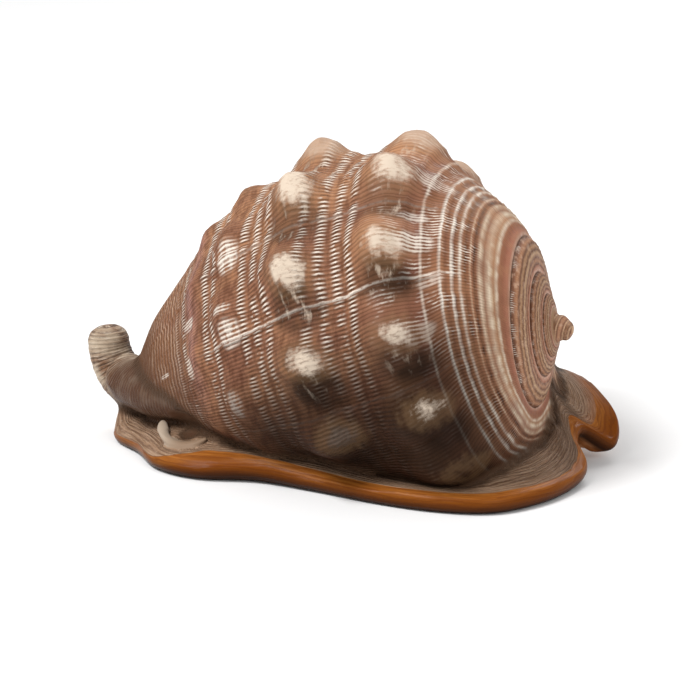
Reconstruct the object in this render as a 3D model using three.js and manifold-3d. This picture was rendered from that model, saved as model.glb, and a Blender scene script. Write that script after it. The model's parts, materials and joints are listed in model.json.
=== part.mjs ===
// A helmet shell lying on its aperture, grown as one piece. Millimetres, +Z up.
// The coiling axis runs from the apex at +X down to the siphonal canal at -X. A turn angle of 0
// points up, 90 to the outer lip's side (+Y) and -90 to the shield's side (-Y). The shell grows
// with the angle, and the last whorl ends at the outer lip.
import * as THREE from 'three';
import { ParametricGeometry } from 'three/addons/geometries/ParametricGeometry.js';
import { mergeVertices } from 'three/addons/utils/BufferGeometryUtils.js';
import Module from 'manifold-3d';

// Coiling axis
const apex = new THREE.Vector3(66, 0, 44);
const axisTilt = THREE.MathUtils.degToRad(14);
const lipAngle = 140;
const growthRoom = 0.17;

// Spiral lines of the last whorl from the suture to the canal: distance along the axis and
// radius at angle 0, growth of each per turn, and the lean of the line's plane against the axis
const spirals = [
  { name: 'suture', along: 12.2, radius: 26.3, alongGrowth: 1.42, radiusGrowth: 1.65, lean: 0.16 },
  { name: 'next suture', along: 18.6, radius: 38.3, alongGrowth: 0, radiusGrowth: 0, lean: 0.01 },
  { name: 'shoulder', along: 35.5, radius: 52, alongGrowth: 1.51, radiusGrowth: 2, lean: 0 },
  { name: 'below shoulder', along: 51, radius: 54.3, alongGrowth: 1.4, radiusGrowth: 2.1, lean: 0 },
  { name: 'middle', along: 66.5, radius: 54.5, alongGrowth: 1.25, radiusGrowth: 2.15, lean: 0 },
  { name: 'below middle', along: 81, radius: 51.5, alongGrowth: 1.15, radiusGrowth: 2.2, lean: 0 },
  { name: 'above base', along: 93, radius: 46.5, alongGrowth: 1.1, radiusGrowth: 2.3, lean: 0 },
  { name: 'base', along: 105, radius: 38, alongGrowth: 1.06, radiusGrowth: 2.4, lean: 0 },
  { name: 'below base', along: 115, radius: 29.5, alongGrowth: 1.03, radiusGrowth: 2.5, lean: 0 },
  { name: 'neck', along: 123, radius: 22, alongGrowth: 1, radiusGrowth: 2.3, lean: 0 },
  { name: 'canal root', along: 129.5, radius: 13.5, alongGrowth: 1, radiusGrowth: 1.8, lean: 0 },
];
const lineSpacing = 13.5;
const bodyEnd = 131.5;
const leanAngle = 30;
const spireTurns = 3;
const spireRows = [0, 0.12, 0.5, 1];
const bodyRows = [1.5, 1.95, 2.3, 2.65, 3.1, 3.5, 3.8, 4.1, 4.45, 4.85, 5.2, 5.45, 5.75, 6.1, 6.4, 6.75,
  7.2, 7.8, 8.6, 10];
const columns = 72;

// Knobs: spiral line, first angle, height, half width along the turn and across it
const knobStep = 30;
const lastKnob = 95;
const knobRows = [
  { line: 2.3, angle: 20, height: 6.8, along: 8.5, across: 7 },
  { line: 4, angle: 15, height: 7.6, along: 8.8, across: 7 },
  { line: 5.45, angle: 5, height: 3.2, along: 7.5, across: 5.5 },
  { line: 6.4, angle: -5, height: 2.2, along: 6, across: 4.5 },
];
const ridgeHeight = 0.9;
const ridgeWidth = 4.5;
const sutureLedge = 1.1;

// Hollow and aperture
const wall = 5.5;
const bodyFloor = 5.5;
const hollowFloor = 9;
const hollowRows = 9;
const hollowColumns = 28;
const slotSides = 32;
const slot = { left: -62, right: 57, halfWidth: 5, leftY: 2, rightY: 12, bow: 15.3, top: 18 };
const slotSpare = 0.4;

// Rim of the shield and the outer lip, in order round the aperture: place, underside height,
// radius of the rounded edge, width of the sheet up to the body and height where it meets it
const rim = [
  { x: -68, y: -12, under: 0, edge: 2.4, sheet: 13, meet: 10 },
  { x: -56, y: -23, under: 0, edge: 2.6, sheet: 15, meet: 11 },
  { x: -45, y: -35, under: 0, edge: 2.9, sheet: 17, meet: 12 },
  { x: -31, y: -39.5, under: 0, edge: 3.4, sheet: 17, meet: 12.5 },
  { x: -14, y: -36.5, under: 0, edge: 3.9, sheet: 13, meet: 12.5 },
  { x: 4, y: -38.5, under: 0, edge: 3, sheet: 11, meet: 10 },
  { x: 24, y: -42.5, under: 0, edge: 2.7, sheet: 9, meet: 8.5 },
  { x: 42, y: -43.5, under: 0, edge: 2.6, sheet: 8, meet: 8.5 },
  { x: 57, y: -39.5, under: 0, edge: 2.6, sheet: 10, meet: 10 },
  { x: 67, y: -27, under: 0, edge: 2.5, sheet: 15, meet: 12.5 },
  { x: 72, y: -12, under: 0.3, edge: 2.3, sheet: 18, meet: 17 },
  { x: 72.5, y: -1, under: 2, edge: 2, sheet: 17, meet: 19.5 },
  { x: 67.5, y: 7, under: 6, edge: 1.9, sheet: 12, meet: 20.5 },
  { x: 67.5, y: 14, under: 8.2, edge: 1.9, sheet: 12, meet: 22 },
  { x: 74.5, y: 20, under: 2.6, edge: 2.2, sheet: 18, meet: 23 },
  { x: 74, y: 27, under: 6.5, edge: 2.2, sheet: 19, meet: 24 },
  { x: 68.5, y: 33, under: 11, edge: 2.2, sheet: 17, meet: 26 },
  { x: 57.5, y: 41, under: 15, edge: 2.4, sheet: 12, meet: 25 },
  { x: 42, y: 53, under: 11, edge: 3, sheet: 9, meet: 22 },
  { x: 24, y: 61.5, under: 7, edge: 3.8, sheet: 8, meet: 18 },
  { x: 4, y: 65, under: 4.5, edge: 4.4, sheet: 8, meet: 15 },
  { x: -17, y: 60.5, under: 3.5, edge: 4.4, sheet: 8, meet: 14 },
  { x: -36, y: 49.5, under: 3, edge: 4, sheet: 9, meet: 14 },
  { x: -52, y: 34, under: 3, edge: 3.4, sheet: 10, meet: 13 },
  { x: -64, y: 17, under: 4, edge: 2.7, sheet: 11, meet: 13 },
  { x: -71, y: 3, under: 5, edge: 2.3, sheet: 11, meet: 13 },
];
const rimSteps = 84;
const lipTooth = 0.9;
const shieldTooth = 0.6;

// Recurved siphonal canal: centre line with its radius, and the groove along its outer side
const canal = [
  { x: -47, y: 4, z: 19, radius: 11.5 },
  { x: -58, y: 4, z: 13, radius: 10.6 },
  { x: -66.5, y: 4, z: 12, radius: 9 },
  { x: -73, y: 4.5, z: 16, radius: 7.4 },
  { x: -76.5, y: 5, z: 22, radius: 6.5 },
  { x: -78, y: 5.5, z: 30, radius: 6.2 },
];
const canalFlatness = 0.9;
const canalSides = 12;
const canalSteps = 13;
const grooveRadius = 2.6;

// Umbilical hollow between the shield and the canal
const umbilicus = { x: -43, y: -24.5, z: 12.5, long: 8, wide: 3.8, high: 4.2, turn: -12 };

// Nub of the first whorls
const nub = { along: 3.2, radius: 3, length: 4.6 };

const down = new THREE.Vector3(-Math.cos(axisTilt), 0, -Math.sin(axisTilt));
const rise = new THREE.Vector3(-Math.sin(axisTilt), 0, Math.cos(axisTilt));
const side = new THREE.Vector3(0, 1, 0);
const turnsToFirst = (lipAngle - 360) / 360;

// Turns of growth at an angle: even up to the top, then slowing towards the lip
function growth(angle) {
  const turns = angle / 360;
  return turns < 0 ? turns : growthRoom * (1 - Math.exp(-turns / growthRoom));
}

// Distance along the axis and radius of one spiral line at an angle
function spiralPoint(line, angle, lean = line.lean) {
  const turns = growth(angle);
  const radius = line.radius * line.radiusGrowth ** turns;
  const along = line.along * line.alongGrowth ** turns
    - lean * radius * Math.cos(THREE.MathUtils.degToRad(angle + leanAngle));
  return { along, radius };
}

// The second line starts where the lip's suture lies on the last whorl
const lipSuture = spirals[0].along * spirals[0].alongGrowth ** growth(lipAngle);
const lipSutureRadius = spirals[0].radius * spirals[0].radiusGrowth ** growth(lipAngle);
spirals[1].alongGrowth = (lipSuture / spirals[1].along) ** (1 / turnsToFirst);
spirals[1].radiusGrowth = (lipSutureRadius / spirals[1].radius) ** (1 / turnsToFirst);

// All lines at an angle, from the suture to the canal
function profile(angle) {
  const points = spirals.map((line) => spiralPoint(line, angle));
  if (angle < lipAngle - 360) {
    points[1] = spiralPoint(spirals[0], angle + 360);
  } else {
    const nearSuture = Math.exp(-(angle - lipAngle + 360) / 50);
    const lean = THREE.MathUtils.lerp(spirals[1].lean, spirals[0].lean, nearSuture);
    points[1] = spiralPoint(spirals[1], angle, lean);
  }
  return points;
}

// Smooth curve through evenly numbered values
function smooth(values, place) {
  const last = values.length - 1;
  const start = Math.min(Math.floor(Math.max(place, 0)), last - 1);
  const f = place - start;
  const b = values[start];
  const c = values[start + 1];
  const a = start > 0 ? values[start - 1] : 2 * b - c;
  const d = start + 2 <= last ? values[start + 2] : 2 * c - b;
  return 0.5 * (2 * b + (c - a) * f + (2 * a - 5 * b + 4 * c - d) * f ** 2
    + (3 * b - a - 3 * c + d) * f ** 3);
}

// Height of knobs, spiral ridges and the ledge beside the suture
function relief(angle, line, radius, radii) {
  const lastWhorl = angle >= lipAngle - 360;
  let height = 0;
  for (const row of lastWhorl ? knobRows : []) {
    const rowRadius = smooth(radii, row.line);
    const size = rowRadius / smooth(spirals.map((spiral) => spiral.radius), row.line);
    const nearest = row.angle - Math.round((row.angle - angle) / knobStep) * knobStep;
    const along = THREE.MathUtils.degToRad(angle - nearest) * rowRadius;
    const across = (line - row.line) * lineSpacing;
    const reach = Math.hypot(along / (row.along * size), across / row.across);
    height += nearest > lastKnob ? 0 : row.height * size * Math.exp(-(reach ** 1.8));
    height += ridgeHeight * size * Math.exp(-((across / ridgeWidth) ** 2));
  }
  const fade = lastWhorl ? Math.exp(-line / 0.8) : 1 - Math.min(line, 1) ** 2;
  return height + sutureLedge * (radius / 30) * (1 - Math.exp(-line / 0.1)) * fade;
}

// A point of the whorl's outer surface, or of one set inwards from it
function whorlPoint(angle, line, inset = 0) {
  const points = profile(angle);
  const alongs = points.map((point) => point.along);
  const radii = points.map((point) => point.radius);
  const along = smooth(alongs, line);
  const radius = smooth(radii, line);
  const step = 0.02;
  const slopeAlong = smooth(alongs, line + step) - smooth(alongs, line - step);
  const slopeRadius = smooth(radii, line + step) - smooth(radii, line - step);
  const length = Math.hypot(slopeAlong, slopeRadius);
  const lift = inset > 0 ? -inset : relief(angle, line, radius, radii);
  return axisPoint(along - slopeRadius / length * lift, radius + slopeAlong / length * lift, angle);
}

function axisPoint(along, radius = 0, angle = 0) {
  const turn = THREE.MathUtils.degToRad(angle);
  return apex.clone()
    .addScaledVector(down, along)
    .addScaledVector(rise, radius * Math.cos(turn))
    .addScaledVector(side, radius * Math.sin(turn));
}

// A closed surface of one turn that joins its spire turns along the suture, or has none
function coil({ surface, steps, spire, rows, turns, start, end }) {
  const points = [];
  const triangles = [];
  const add = (point) => points.push(point) - 1;
  const angles = Array.from({ length: steps + 1 }, (_, i) => lipAngle - 360 + i * 360 / steps);
  const all = [...spire, ...rows];
  const joined = spire.length - 1;
  const grids = [angles.map((angle) => all.map((line) => add(surface(angle, line))))];
  grids[0][steps][0] = grids[0][0][joined];
  for (let turn = 1; turn <= turns; turn += 1) {
    const outer = grids[turn - 1];
    grids.push(angles.map((angle, i) => spire.map((line, j) => {
      if (j === joined) return outer[i][0];
      return i === steps ? outer[0][j] : add(surface(angle - 360 * turn, line));
    })));
  }
  for (const grid of grids) {
    for (let i = 0; i < steps; i += 1) {
      for (let j = 0; j < grid[i].length - 1; j += 1) {
        triangles.push(grid[i][j], grid[i + 1][j], grid[i + 1][j + 1]);
        triangles.push(grid[i][j], grid[i + 1][j + 1], grid[i][j + 1]);
      }
    }
  }
  // The step from the lip down to the older whorl
  const lip = grids[0][steps];
  const older = grids[0][0].slice(joined);
  let i = 0;
  let j = 0;
  while (i < lip.length - 1 || j < older.length - 1) {
    const lipNext = (i + 1) / (lip.length - 1) <= (j + 1) / (older.length - 1);
    if (lipNext) {
      triangles.push(lip[i], older[j], lip[i + 1]);
      i += 1;
    } else {
      triangles.push(lip[i], older[j], older[j + 1]);
      j += 1;
    }
  }
  // Both ends close on a point of the axis
  const close = (ring, centre) => {
    const tip = add(centre);
    ring.forEach((point, k) => triangles.push(point, ring[(k + 1) % ring.length], tip));
  };
  close(grids[0].map((column) => column[all.length - 1]), end);
  const inner = grids[turns];
  const around = inner.map((column) => column[0]);
  close([...inner[0].slice(1, joined), ...around.reverse()], start);
  const geometry = new THREE.BufferGeometry().setFromPoints(points);
  geometry.setIndex(triangles);
  return geometry;
}

// Middle of the aperture slot across the shell
function slotMiddle(x) {
  const share = THREE.MathUtils.clamp((x - slot.left) / (slot.right - slot.left), 0, 1);
  return THREE.MathUtils.lerp(slot.leftY, slot.rightY, share) + slot.bow * 4 * share * (1 - share);
}

// Edge of the slot in the direction of a turn round it
function slotEdge(turn, spare = 0) {
  const middle = (slot.left + slot.right) / 2;
  const x = middle + ((slot.right - slot.left) / 2 + spare) * Math.cos(turn);
  const across = Math.sign(Math.sin(turn)) * Math.abs(Math.sin(turn)) ** 0.6;
  return new THREE.Vector2(x, slotMiddle(x) + (slot.halfWidth + spare) * across);
}

// Rim values at a place round the aperture, as a share of the whole way
function rimAt(share) {
  const place = share * rim.length;
  const start = Math.floor(place + 1e-9);
  const f = place - start;
  const near = [-1, 0, 1, 2].map((step) => rim[(start + step + rim.length) % rim.length]);
  const value = (key) => {
    const [a, b, c, d] = near.map((station) => station[key]);
    return 0.5 * (2 * b + (c - a) * f + (2 * a - 5 * b + 4 * c - d) * f ** 2
      + (3 * b - a - 3 * c + d) * f ** 3);
  };
  return Object.fromEntries(Object.keys(rim[0]).map((key) => [key, value(key)]));
}

// Cross-section of the shield or lip from the slot out to the rim and back into the body
function lipSection(share) {
  const at = rimAt(share % 1);
  const outer = new THREE.Vector2(at.x, at.y);
  const turn = Math.atan2((at.y - slotMiddle(at.x)) / 48, at.x / 74);
  const inner = slotEdge(turn);
  const out = outer.clone().sub(inner).normalize();
  const outerSide = THREE.MathUtils.clamp(Math.sin(turn) * 1.5, 0, 1);
  const toothFade = THREE.MathUtils.clamp(Math.abs(Math.sin(turn)) * 2 - 0.5, 0, 1);
  const tooth = (outerSide > 0 ? lipTooth : shieldTooth) * toothFade;
  const isTooth = Math.round(share * rimSteps) % 2 === 0;
  inner.addScaledVector(out, isTooth ? -tooth : tooth);
  const width = outer.distanceTo(inner);
  const mix = (shield, lip) => THREE.MathUtils.lerp(shield, lip, outerSide);
  const lift = mix(at.under * 0.8, Math.max(at.under - 7, 0) * 0.45);
  const slotZ = 4.5 + at.under * 0.7;
  const topZ = slotZ + 8;
  const rimTop = at.under + 2.05 * at.edge;
  const sheet = Math.min(at.sheet, width - at.edge - 1);
  const inward = width - at.edge - sheet;
  const points = [
    [0, slotZ + 3.5],
    [0.03 * width, slotZ + 0.6],
    [0.12 * width, slotZ - 0.6],
    [0.35 * width, mix(3, 1.2) + lift],
    [mix(0.6, 0.5) * width, mix(2.4, 0) + lift],
    [mix(width - 2.6 * at.edge, 0.68 * width), mix(at.under, lift)],
    [width - at.edge, at.under],
    [width - 0.25 * at.edge, at.under + 0.35 * at.edge],
    [width, at.under + at.edge],
    [width - 0.3 * at.edge, at.under + 1.75 * at.edge],
    [width - 1.1 * at.edge, rimTop],
    [width - at.edge - 0.5 * sheet, THREE.MathUtils.lerp(rimTop, at.meet, 0.3)],
    [inward, at.meet],
    [Math.max(inward - 7, 0.5 * inward), Math.max(at.meet + 2, topZ)],
    [0.25 * inward, topZ],
    [0, topZ - 1],
  ];
  return points.map(([distance, z]) => {
    const place = inner.clone().addScaledVector(out, distance);
    return new THREE.Vector3(place.x, place.y, Math.max(z, 0));
  });
}

function lipRing() {
  const sections = Array.from({ length: rimSteps }, (_, i) => lipSection(i / rimSteps));
  const size = sections[0].length;
  const surface = (u, v, target) => {
    const section = sections[Math.round(v * rimSteps) % rimSteps];
    target.copy(section[Math.round(u * size) % size]);
  };
  return new ParametricGeometry(surface, size, rimSteps);
}

// A closed tube along the canal's centre line, which can lie beside it
function canalTube({ offset = 0, radius = (own) => own, steps = canalSteps, sides = canalSides,
  from = 0, to = 1 }) {
  const centre = new THREE.CatmullRomCurve3(canal.map((p) => new THREE.Vector3(p.x, p.y, p.z)));
  const radii = canal.map((point) => point.radius);
  const surface = (u, v, target) => {
    const step = THREE.MathUtils.clamp(Math.round(v * (steps + 2)) - 1, 0, steps);
    const t = THREE.MathUtils.lerp(from, to, step / steps);
    const tangent = centre.getTangent(t);
    const outward = new THREE.Vector3().crossVectors(tangent, side).normalize();
    const across = new THREE.Vector3().crossVectors(outward, tangent).normalize();
    const own = smooth(radii, t * (canal.length - 1));
    const capped = v < 0.5 / (steps + 2) || v > 1 - 0.5 / (steps + 2) ? 0 : radius(own);
    const turn = u * 2 * Math.PI;
    target.copy(centre.getPoint(t))
      .addScaledVector(outward, offset * own + capped * canalFlatness * Math.cos(turn))
      .addScaledVector(across, capped * Math.sin(turn));
  };
  return new ParametricGeometry(surface, sides, steps + 2);
}

const wasm = await Module();
wasm.setup();

// A three.js geometry as a closed solid, its shared points merged
function solid(geometry) {
  const bare = geometry.clone();
  bare.deleteAttribute('normal');
  bare.deleteAttribute('uv');
  const merged = mergeVertices(bare, 1e-3);
  const index = merged.index.array;
  const kept = [];
  for (let i = 0; i < index.length; i += 3) {
    const [a, b, c] = index.slice(i, i + 3);
    if (a !== b && b !== c && c !== a) kept.push(a, b, c);
  }
  const shape = (order) => new wasm.Manifold(new wasm.Mesh({
    numProp: 3,
    vertProperties: new Float32Array(merged.attributes.position.array),
    triVerts: new Uint32Array(order),
  }));
  const first = shape(kept);
  return first.volume() > 0 ? first : shape(kept.reverse());
}

function above(floor) {
  return (point) => point.setZ(Math.max(point.z, floor));
}

const bodySolid = solid(coil({
  surface: (angle, line) => above(bodyFloor)(whorlPoint(angle, line)),
  steps: columns,
  spire: spireRows,
  rows: bodyRows,
  turns: spireTurns,
  start: axisPoint(2.4),
  end: axisPoint(bodyEnd),
}));
const hollowLines = Array.from({ length: hollowRows }, (_, i) => 1.4 + i * 7.4 / (hollowRows - 1));
const hollowSolid = solid(coil({
  surface: (angle, line) => above(hollowFloor)(whorlPoint(angle, line, wall)),
  steps: hollowColumns,
  spire: hollowLines.slice(0, 1),
  rows: hollowLines.slice(1),
  turns: 0,
  start: axisPoint(27),
  end: axisPoint(119),
}));
const slotTurns = Array.from({ length: slotSides }, (_, i) => i * 2 * Math.PI / slotSides);
const slotShape = new THREE.Shape(slotTurns.map((turn) => slotEdge(turn, slotSpare)));
const slotSolid = solid(new THREE.ExtrudeGeometry(slotShape, { depth: slot.top, bevelEnabled: false }));
const umbilicusSolid = solid(new THREE.SphereGeometry(1, 14, 10)
  .scale(umbilicus.long, umbilicus.wide, umbilicus.high)
  .rotateZ(THREE.MathUtils.degToRad(umbilicus.turn))
  .translate(umbilicus.x, umbilicus.y, umbilicus.z));
const nubPlace = axisPoint(nub.along);
const nubSolid = solid(new THREE.SphereGeometry(nub.radius, 12, 8)
  .rotateZ(Math.PI / 2)
  .scale(nub.length / nub.radius, 1, 1)
  .rotateY(axisTilt * 0.2)
  .translate(nubPlace.x, nubPlace.y, nubPlace.z));
const grooveSolid = solid(canalTube({
  offset: 0.85,
  radius: () => grooveRadius,
  sides: 8,
  from: 0.1,
  to: 1.02,
}));

const shellSolid = bodySolid
  .subtract(hollowSolid)
  .subtract(slotSolid)
  .add(solid(lipRing()))
  .add(solid(canalTube({})).subtract(hollowSolid).subtract(slotSolid))
  .add(nubSolid)
  .subtract(umbilicusSolid)
  .subtract(grooveSolid);

const mesh = shellSolid.getMesh();
const shellGeometry = new THREE.BufferGeometry();
shellGeometry.setAttribute('position', new THREE.BufferAttribute(mesh.vertProperties, mesh.numProp));
shellGeometry.setIndex(new THREE.BufferAttribute(mesh.triVerts, 1));
shellGeometry.computeVertexNormals();

// The origin is the bottom centre of the shell's box
shellGeometry.computeBoundingBox();
const centre = shellGeometry.boundingBox.getCenter(new THREE.Vector3());
shellGeometry.translate(-centre.x, -centre.y, -shellGeometry.boundingBox.min.z);

const shell = new THREE.Mesh(
  shellGeometry,
  new THREE.MeshStandardMaterial({ color: 0x8a5a40, roughness: 0.5, metalness: 0 }),
);
shell.name = 'shell';

const group = new THREE.Group();
group.add(shell);

export default group;
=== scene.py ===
"""A helmet shell that lies on its aperture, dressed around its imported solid.

The shell is one grown piece. Its surface follows a growth spiral, so it is computed from turn
angles and spiral lines and then joined, cut and smoothed as one mesh. Lengths are millimetres in
the axis frame until a mesh is made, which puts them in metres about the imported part's origin.
"""

import json
import logging
import math
from dataclasses import dataclass, field
from enum import Enum
from typing import Callable, Sequence

import bpy
import numpy as np
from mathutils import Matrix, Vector
from mathutils.kdtree import KDTree

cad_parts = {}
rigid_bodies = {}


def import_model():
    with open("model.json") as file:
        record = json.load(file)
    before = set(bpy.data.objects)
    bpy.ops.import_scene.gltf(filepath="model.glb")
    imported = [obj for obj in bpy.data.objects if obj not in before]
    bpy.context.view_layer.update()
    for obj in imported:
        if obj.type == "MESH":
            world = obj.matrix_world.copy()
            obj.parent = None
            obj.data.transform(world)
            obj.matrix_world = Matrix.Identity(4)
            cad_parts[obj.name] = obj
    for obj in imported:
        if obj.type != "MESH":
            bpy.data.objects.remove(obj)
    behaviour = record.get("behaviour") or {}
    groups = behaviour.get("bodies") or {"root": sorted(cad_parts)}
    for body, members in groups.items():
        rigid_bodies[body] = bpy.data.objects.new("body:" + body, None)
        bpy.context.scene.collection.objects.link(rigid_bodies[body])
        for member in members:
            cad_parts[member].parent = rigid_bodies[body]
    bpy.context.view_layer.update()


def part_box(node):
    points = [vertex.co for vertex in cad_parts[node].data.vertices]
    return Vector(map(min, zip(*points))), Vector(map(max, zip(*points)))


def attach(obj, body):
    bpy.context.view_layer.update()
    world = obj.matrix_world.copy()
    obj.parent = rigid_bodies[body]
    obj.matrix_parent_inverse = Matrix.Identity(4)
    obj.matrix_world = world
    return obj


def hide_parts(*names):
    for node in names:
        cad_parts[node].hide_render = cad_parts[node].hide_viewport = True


Array = np.ndarray
Socket = bpy.types.NodeSocket
Value = Socket | float | str
Skins = dict["Skin", bpy.types.Material]
Stops = tuple[tuple[float, str], ...]

LOG = logging.getLogger("helmet_shell")
SEAM = "4b3627"  # Colour of the shade where two finishes meet
MIDDLE = np.array([-4.2387, 7.3477, 0.0])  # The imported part's origin in the axis frame
MILLIMETRE = 0.001
APEX_GROWTH = -1500.0  # Growth value that the nub and the closed inner end are painted with
HOOK_TONE, FOLD_TONE, CUT_TONE, PALE_TONE = 0.0, 1.0, 2.0, -1.0  # Parts that share the canal's finish


class Skin(Enum):
    """The finishes of the shell, in the order of its material slots."""

    WHORLS = "whorls"
    SHIELD = "shield"
    CANAL = "canal"
    INNER = "inner"


def table(*rows: Sequence[float]) -> Array:
    """A dataclass field that holds a fresh array of rows."""
    return field(default_factory=lambda: np.array(rows, float))


def cubic(before: Array, start: Array, end: Array, after: Array, share: Array) -> Array:
    """A smooth curve at a share of the way from start to end, shaped by their neighbours."""
    return 0.5 * (
        2 * start
        + (end - before) * share
        + (2 * before - 5 * start + 4 * end - after) * share**2
        + (3 * start - before - 3 * end + after) * share**3
    )


def smooth_through(values: Array, place: Array) -> Array:
    """Follows a smooth curve through evenly numbered values.

    Args:
        values: Values, with the numbered ones along the last axis.
        place: Where to read the curve, as numbers from 0 to the last one.

    Returns:
        The curve's values at those places.
    """
    last = values.shape[-1] - 1
    place = np.clip(place, 0, last - 1e-9)
    start = np.floor(place).astype(int)

    def at(index: Array) -> Array:
        """The numbered values at an index."""
        index = np.clip(index, 0, last)
        if values.ndim == 1:
            return values[index]
        return np.take_along_axis(values, index[..., None], -1)[..., 0]

    here, ahead = at(start), at(start + 1)
    before = np.where(start > 0, at(start - 1), 2 * here - ahead)
    after = np.where(start + 2 <= last, at(start + 2), 2 * ahead - here)
    return cubic(before, here, ahead, after, place - start)


def smooth_loop(rows: Array, count: int) -> Array:
    """Follows a smooth closed curve through rows of values.

    Args:
        rows: One row for each station of the loop.
        count: How many places to read.

    Returns:
        One row of values for each place.
    """
    place = np.arange(count) * len(rows) / count
    start = np.floor(place + 1e-9).astype(int)
    neighbours = (rows[(start + step) % len(rows)] for step in (-1, 0, 1, 2))
    return cubic(*neighbours, (place - start)[:, None])


def soft_step(value: Array, low: float, high: float) -> Array:
    """Rises smoothly from 0 at low to 1 at high."""
    share = np.clip((value - low) / (high - low), 0, 1)
    return share * share * (3 - 2 * share)


def read(items: bpy.types.bpy_prop_collection, name: str, kind: type = int, width: int = 1) -> Array:
    """Reads one property of all the points, faces or corners of a mesh."""
    values = np.zeros(len(items) * width, kind)
    items.foreach_get(name, values)
    return values.reshape(-1, width) if width > 1 else values


def write_points(mesh: bpy.types.Mesh, points: Array) -> None:
    """Puts the points of a mesh in new places."""
    mesh.vertices.foreach_set("co", points.ravel())
    mesh.update()


def dress(mesh: bpy.types.Mesh, skin: Skin, skins: Skins) -> None:
    """Gives a mesh the slots of all finishes, and one finish on all its faces."""
    for each in Skin:
        mesh.materials.append(skins[each])
    mesh.polygons.foreach_set("material_index", [list(Skin).index(skin)] * len(mesh.polygons))


@dataclass
class Surface:
    """A mesh in the making: points, faces, and four pattern values for each face corner."""

    points: list[Array] = field(default_factory=list)
    faces: list[Array] = field(default_factory=list)
    corners: list[Array] = field(default_factory=list)
    count: int = 0

    def add_points(self, points: Array) -> Array:
        """Adds points and returns their numbers in the same layout."""
        shape = points.shape[:-1]
        size = int(np.prod(shape))
        self.points.append(points.reshape(-1, 3))
        numbers = self.count + np.arange(size).reshape(shape)
        self.count += size
        return numbers

    def add_grid(self, numbers: Array, pattern: Array) -> None:
        """Adds the four-sided faces of a grid of points with their pattern values."""
        for grid, store in ((numbers[..., None], self.faces), (pattern, self.corners)):
            ring = np.stack([grid[:-1, :-1], grid[1:, :-1], grid[1:, 1:], grid[:-1, 1:]], 2)
            store.append(ring.reshape(-1, 4, grid.shape[-1]))
        self.faces[-1] = self.faces[-1][..., 0]

    def add_triangles(self, triangles: Sequence[Sequence[int]], pattern: Sequence[float]) -> None:
        """Adds triangles that share one set of pattern values."""
        faces = np.array(triangles, int)
        self.faces.append(faces)
        self.corners.append(np.broadcast_to(np.array(pattern, float), (*faces.shape, 4)))

    def add_fan(self, ring: Sequence[int], centre: Array, pattern: Sequence[float]) -> None:
        """Fills a closed ring of point numbers with triangles to a new point."""
        tip = int(self.add_points(centre[None])[0])
        self.add_triangles([(a, b, tip) for a, b in zip(ring[:-1], ring[1:])], pattern)

    def to_object(self, name: str, skin: Skin, skins: Skins) -> bpy.types.Object:
        """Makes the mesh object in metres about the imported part's origin.

        Args:
            name: The object's name.
            skin: The finish of all its faces.
            skins: The material of each finish.

        Returns:
            The new object, closed up and with its faces turned outwards.
        """
        faces: list[list[int]] = []
        corners: list[Array] = []
        for block, values in zip(self.faces, self.corners):
            for face, corner in zip(block.tolist(), values):
                if len(set(face)) == len(face):
                    faces.append(face)
                    corners.append(corner)
                elif len(set(face)) == 3:
                    kept = [k for k in range(4) if face[k] != face[k - 1]]
                    faces.append([face[k] for k in kept])
                    corners.append(corner[kept])
        points = (np.concatenate(self.points) - MIDDLE) * MILLIMETRE
        mesh = bpy.data.meshes.new(name)
        mesh.from_pydata(points.tolist(), [], faces)
        values = np.concatenate(corners).astype(np.float32)
        for layer, columns in (("pattern", (0, 1)), ("marks", (2, 3))):
            mesh.uv_layers.new(name=layer).data.foreach_set("uv", values[:, columns].ravel())
        dress(mesh, skin, skins)
        made = bpy.data.objects.new(name, mesh)
        bpy.context.scene.collection.objects.link(made)
        pick(made)
        bpy.ops.object.mode_set(mode="EDIT")
        bpy.ops.mesh.select_all(action="SELECT")
        bpy.ops.mesh.delete_loose(use_verts=True, use_edges=True, use_faces=False)
        bpy.ops.mesh.select_all(action="SELECT")
        bpy.ops.mesh.normals_make_consistent(inside=False)
        bpy.ops.object.mode_set(mode="OBJECT")
        return made


def deselect_all() -> None:
    """Takes every object out of the selection."""
    for other in bpy.context.selected_objects:
        other.select_set(False)


def pick(made: bpy.types.Object) -> None:
    """Selects one object alone and makes it the active one."""
    deselect_all()
    made.select_set(True)
    bpy.context.view_layer.objects.active = made


def combine(base: bpy.types.Object, tool: bpy.types.Object, operation: str, keep: bool = False) -> None:
    """Joins or cuts one solid with another.

    Args:
        base: The solid that changes.
        tool: The solid that it is joined or cut with.
        operation: UNION or DIFFERENCE.
        keep: Whether the tool stays for another cut.
    """
    pick(base)
    change = base.modifiers.new("combine", "BOOLEAN")
    change.object = tool
    change.operation = operation
    change.solver = "MANIFOLD"
    change.material_mode = "INDEX"
    bpy.ops.object.modifier_apply(modifier=change.name)
    if not keep:
        bpy.data.objects.remove(tool, do_unlink=True)


def dress_cutter(cutter: bpy.types.Object, skin: Skin, skins: Skins) -> bpy.types.Object:
    """Gives a cutter its finish and the two pattern layers, and returns it."""
    cutter.data.uv_layers[0].name = "pattern"
    tones = cutter.data.uv_layers.new(name="marks").data
    tones.foreach_set("uv", [CUT_TONE, 0.0] * len(tones))
    dress(cutter.data, skin, skins)
    cutter.data.update()
    return cutter


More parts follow.
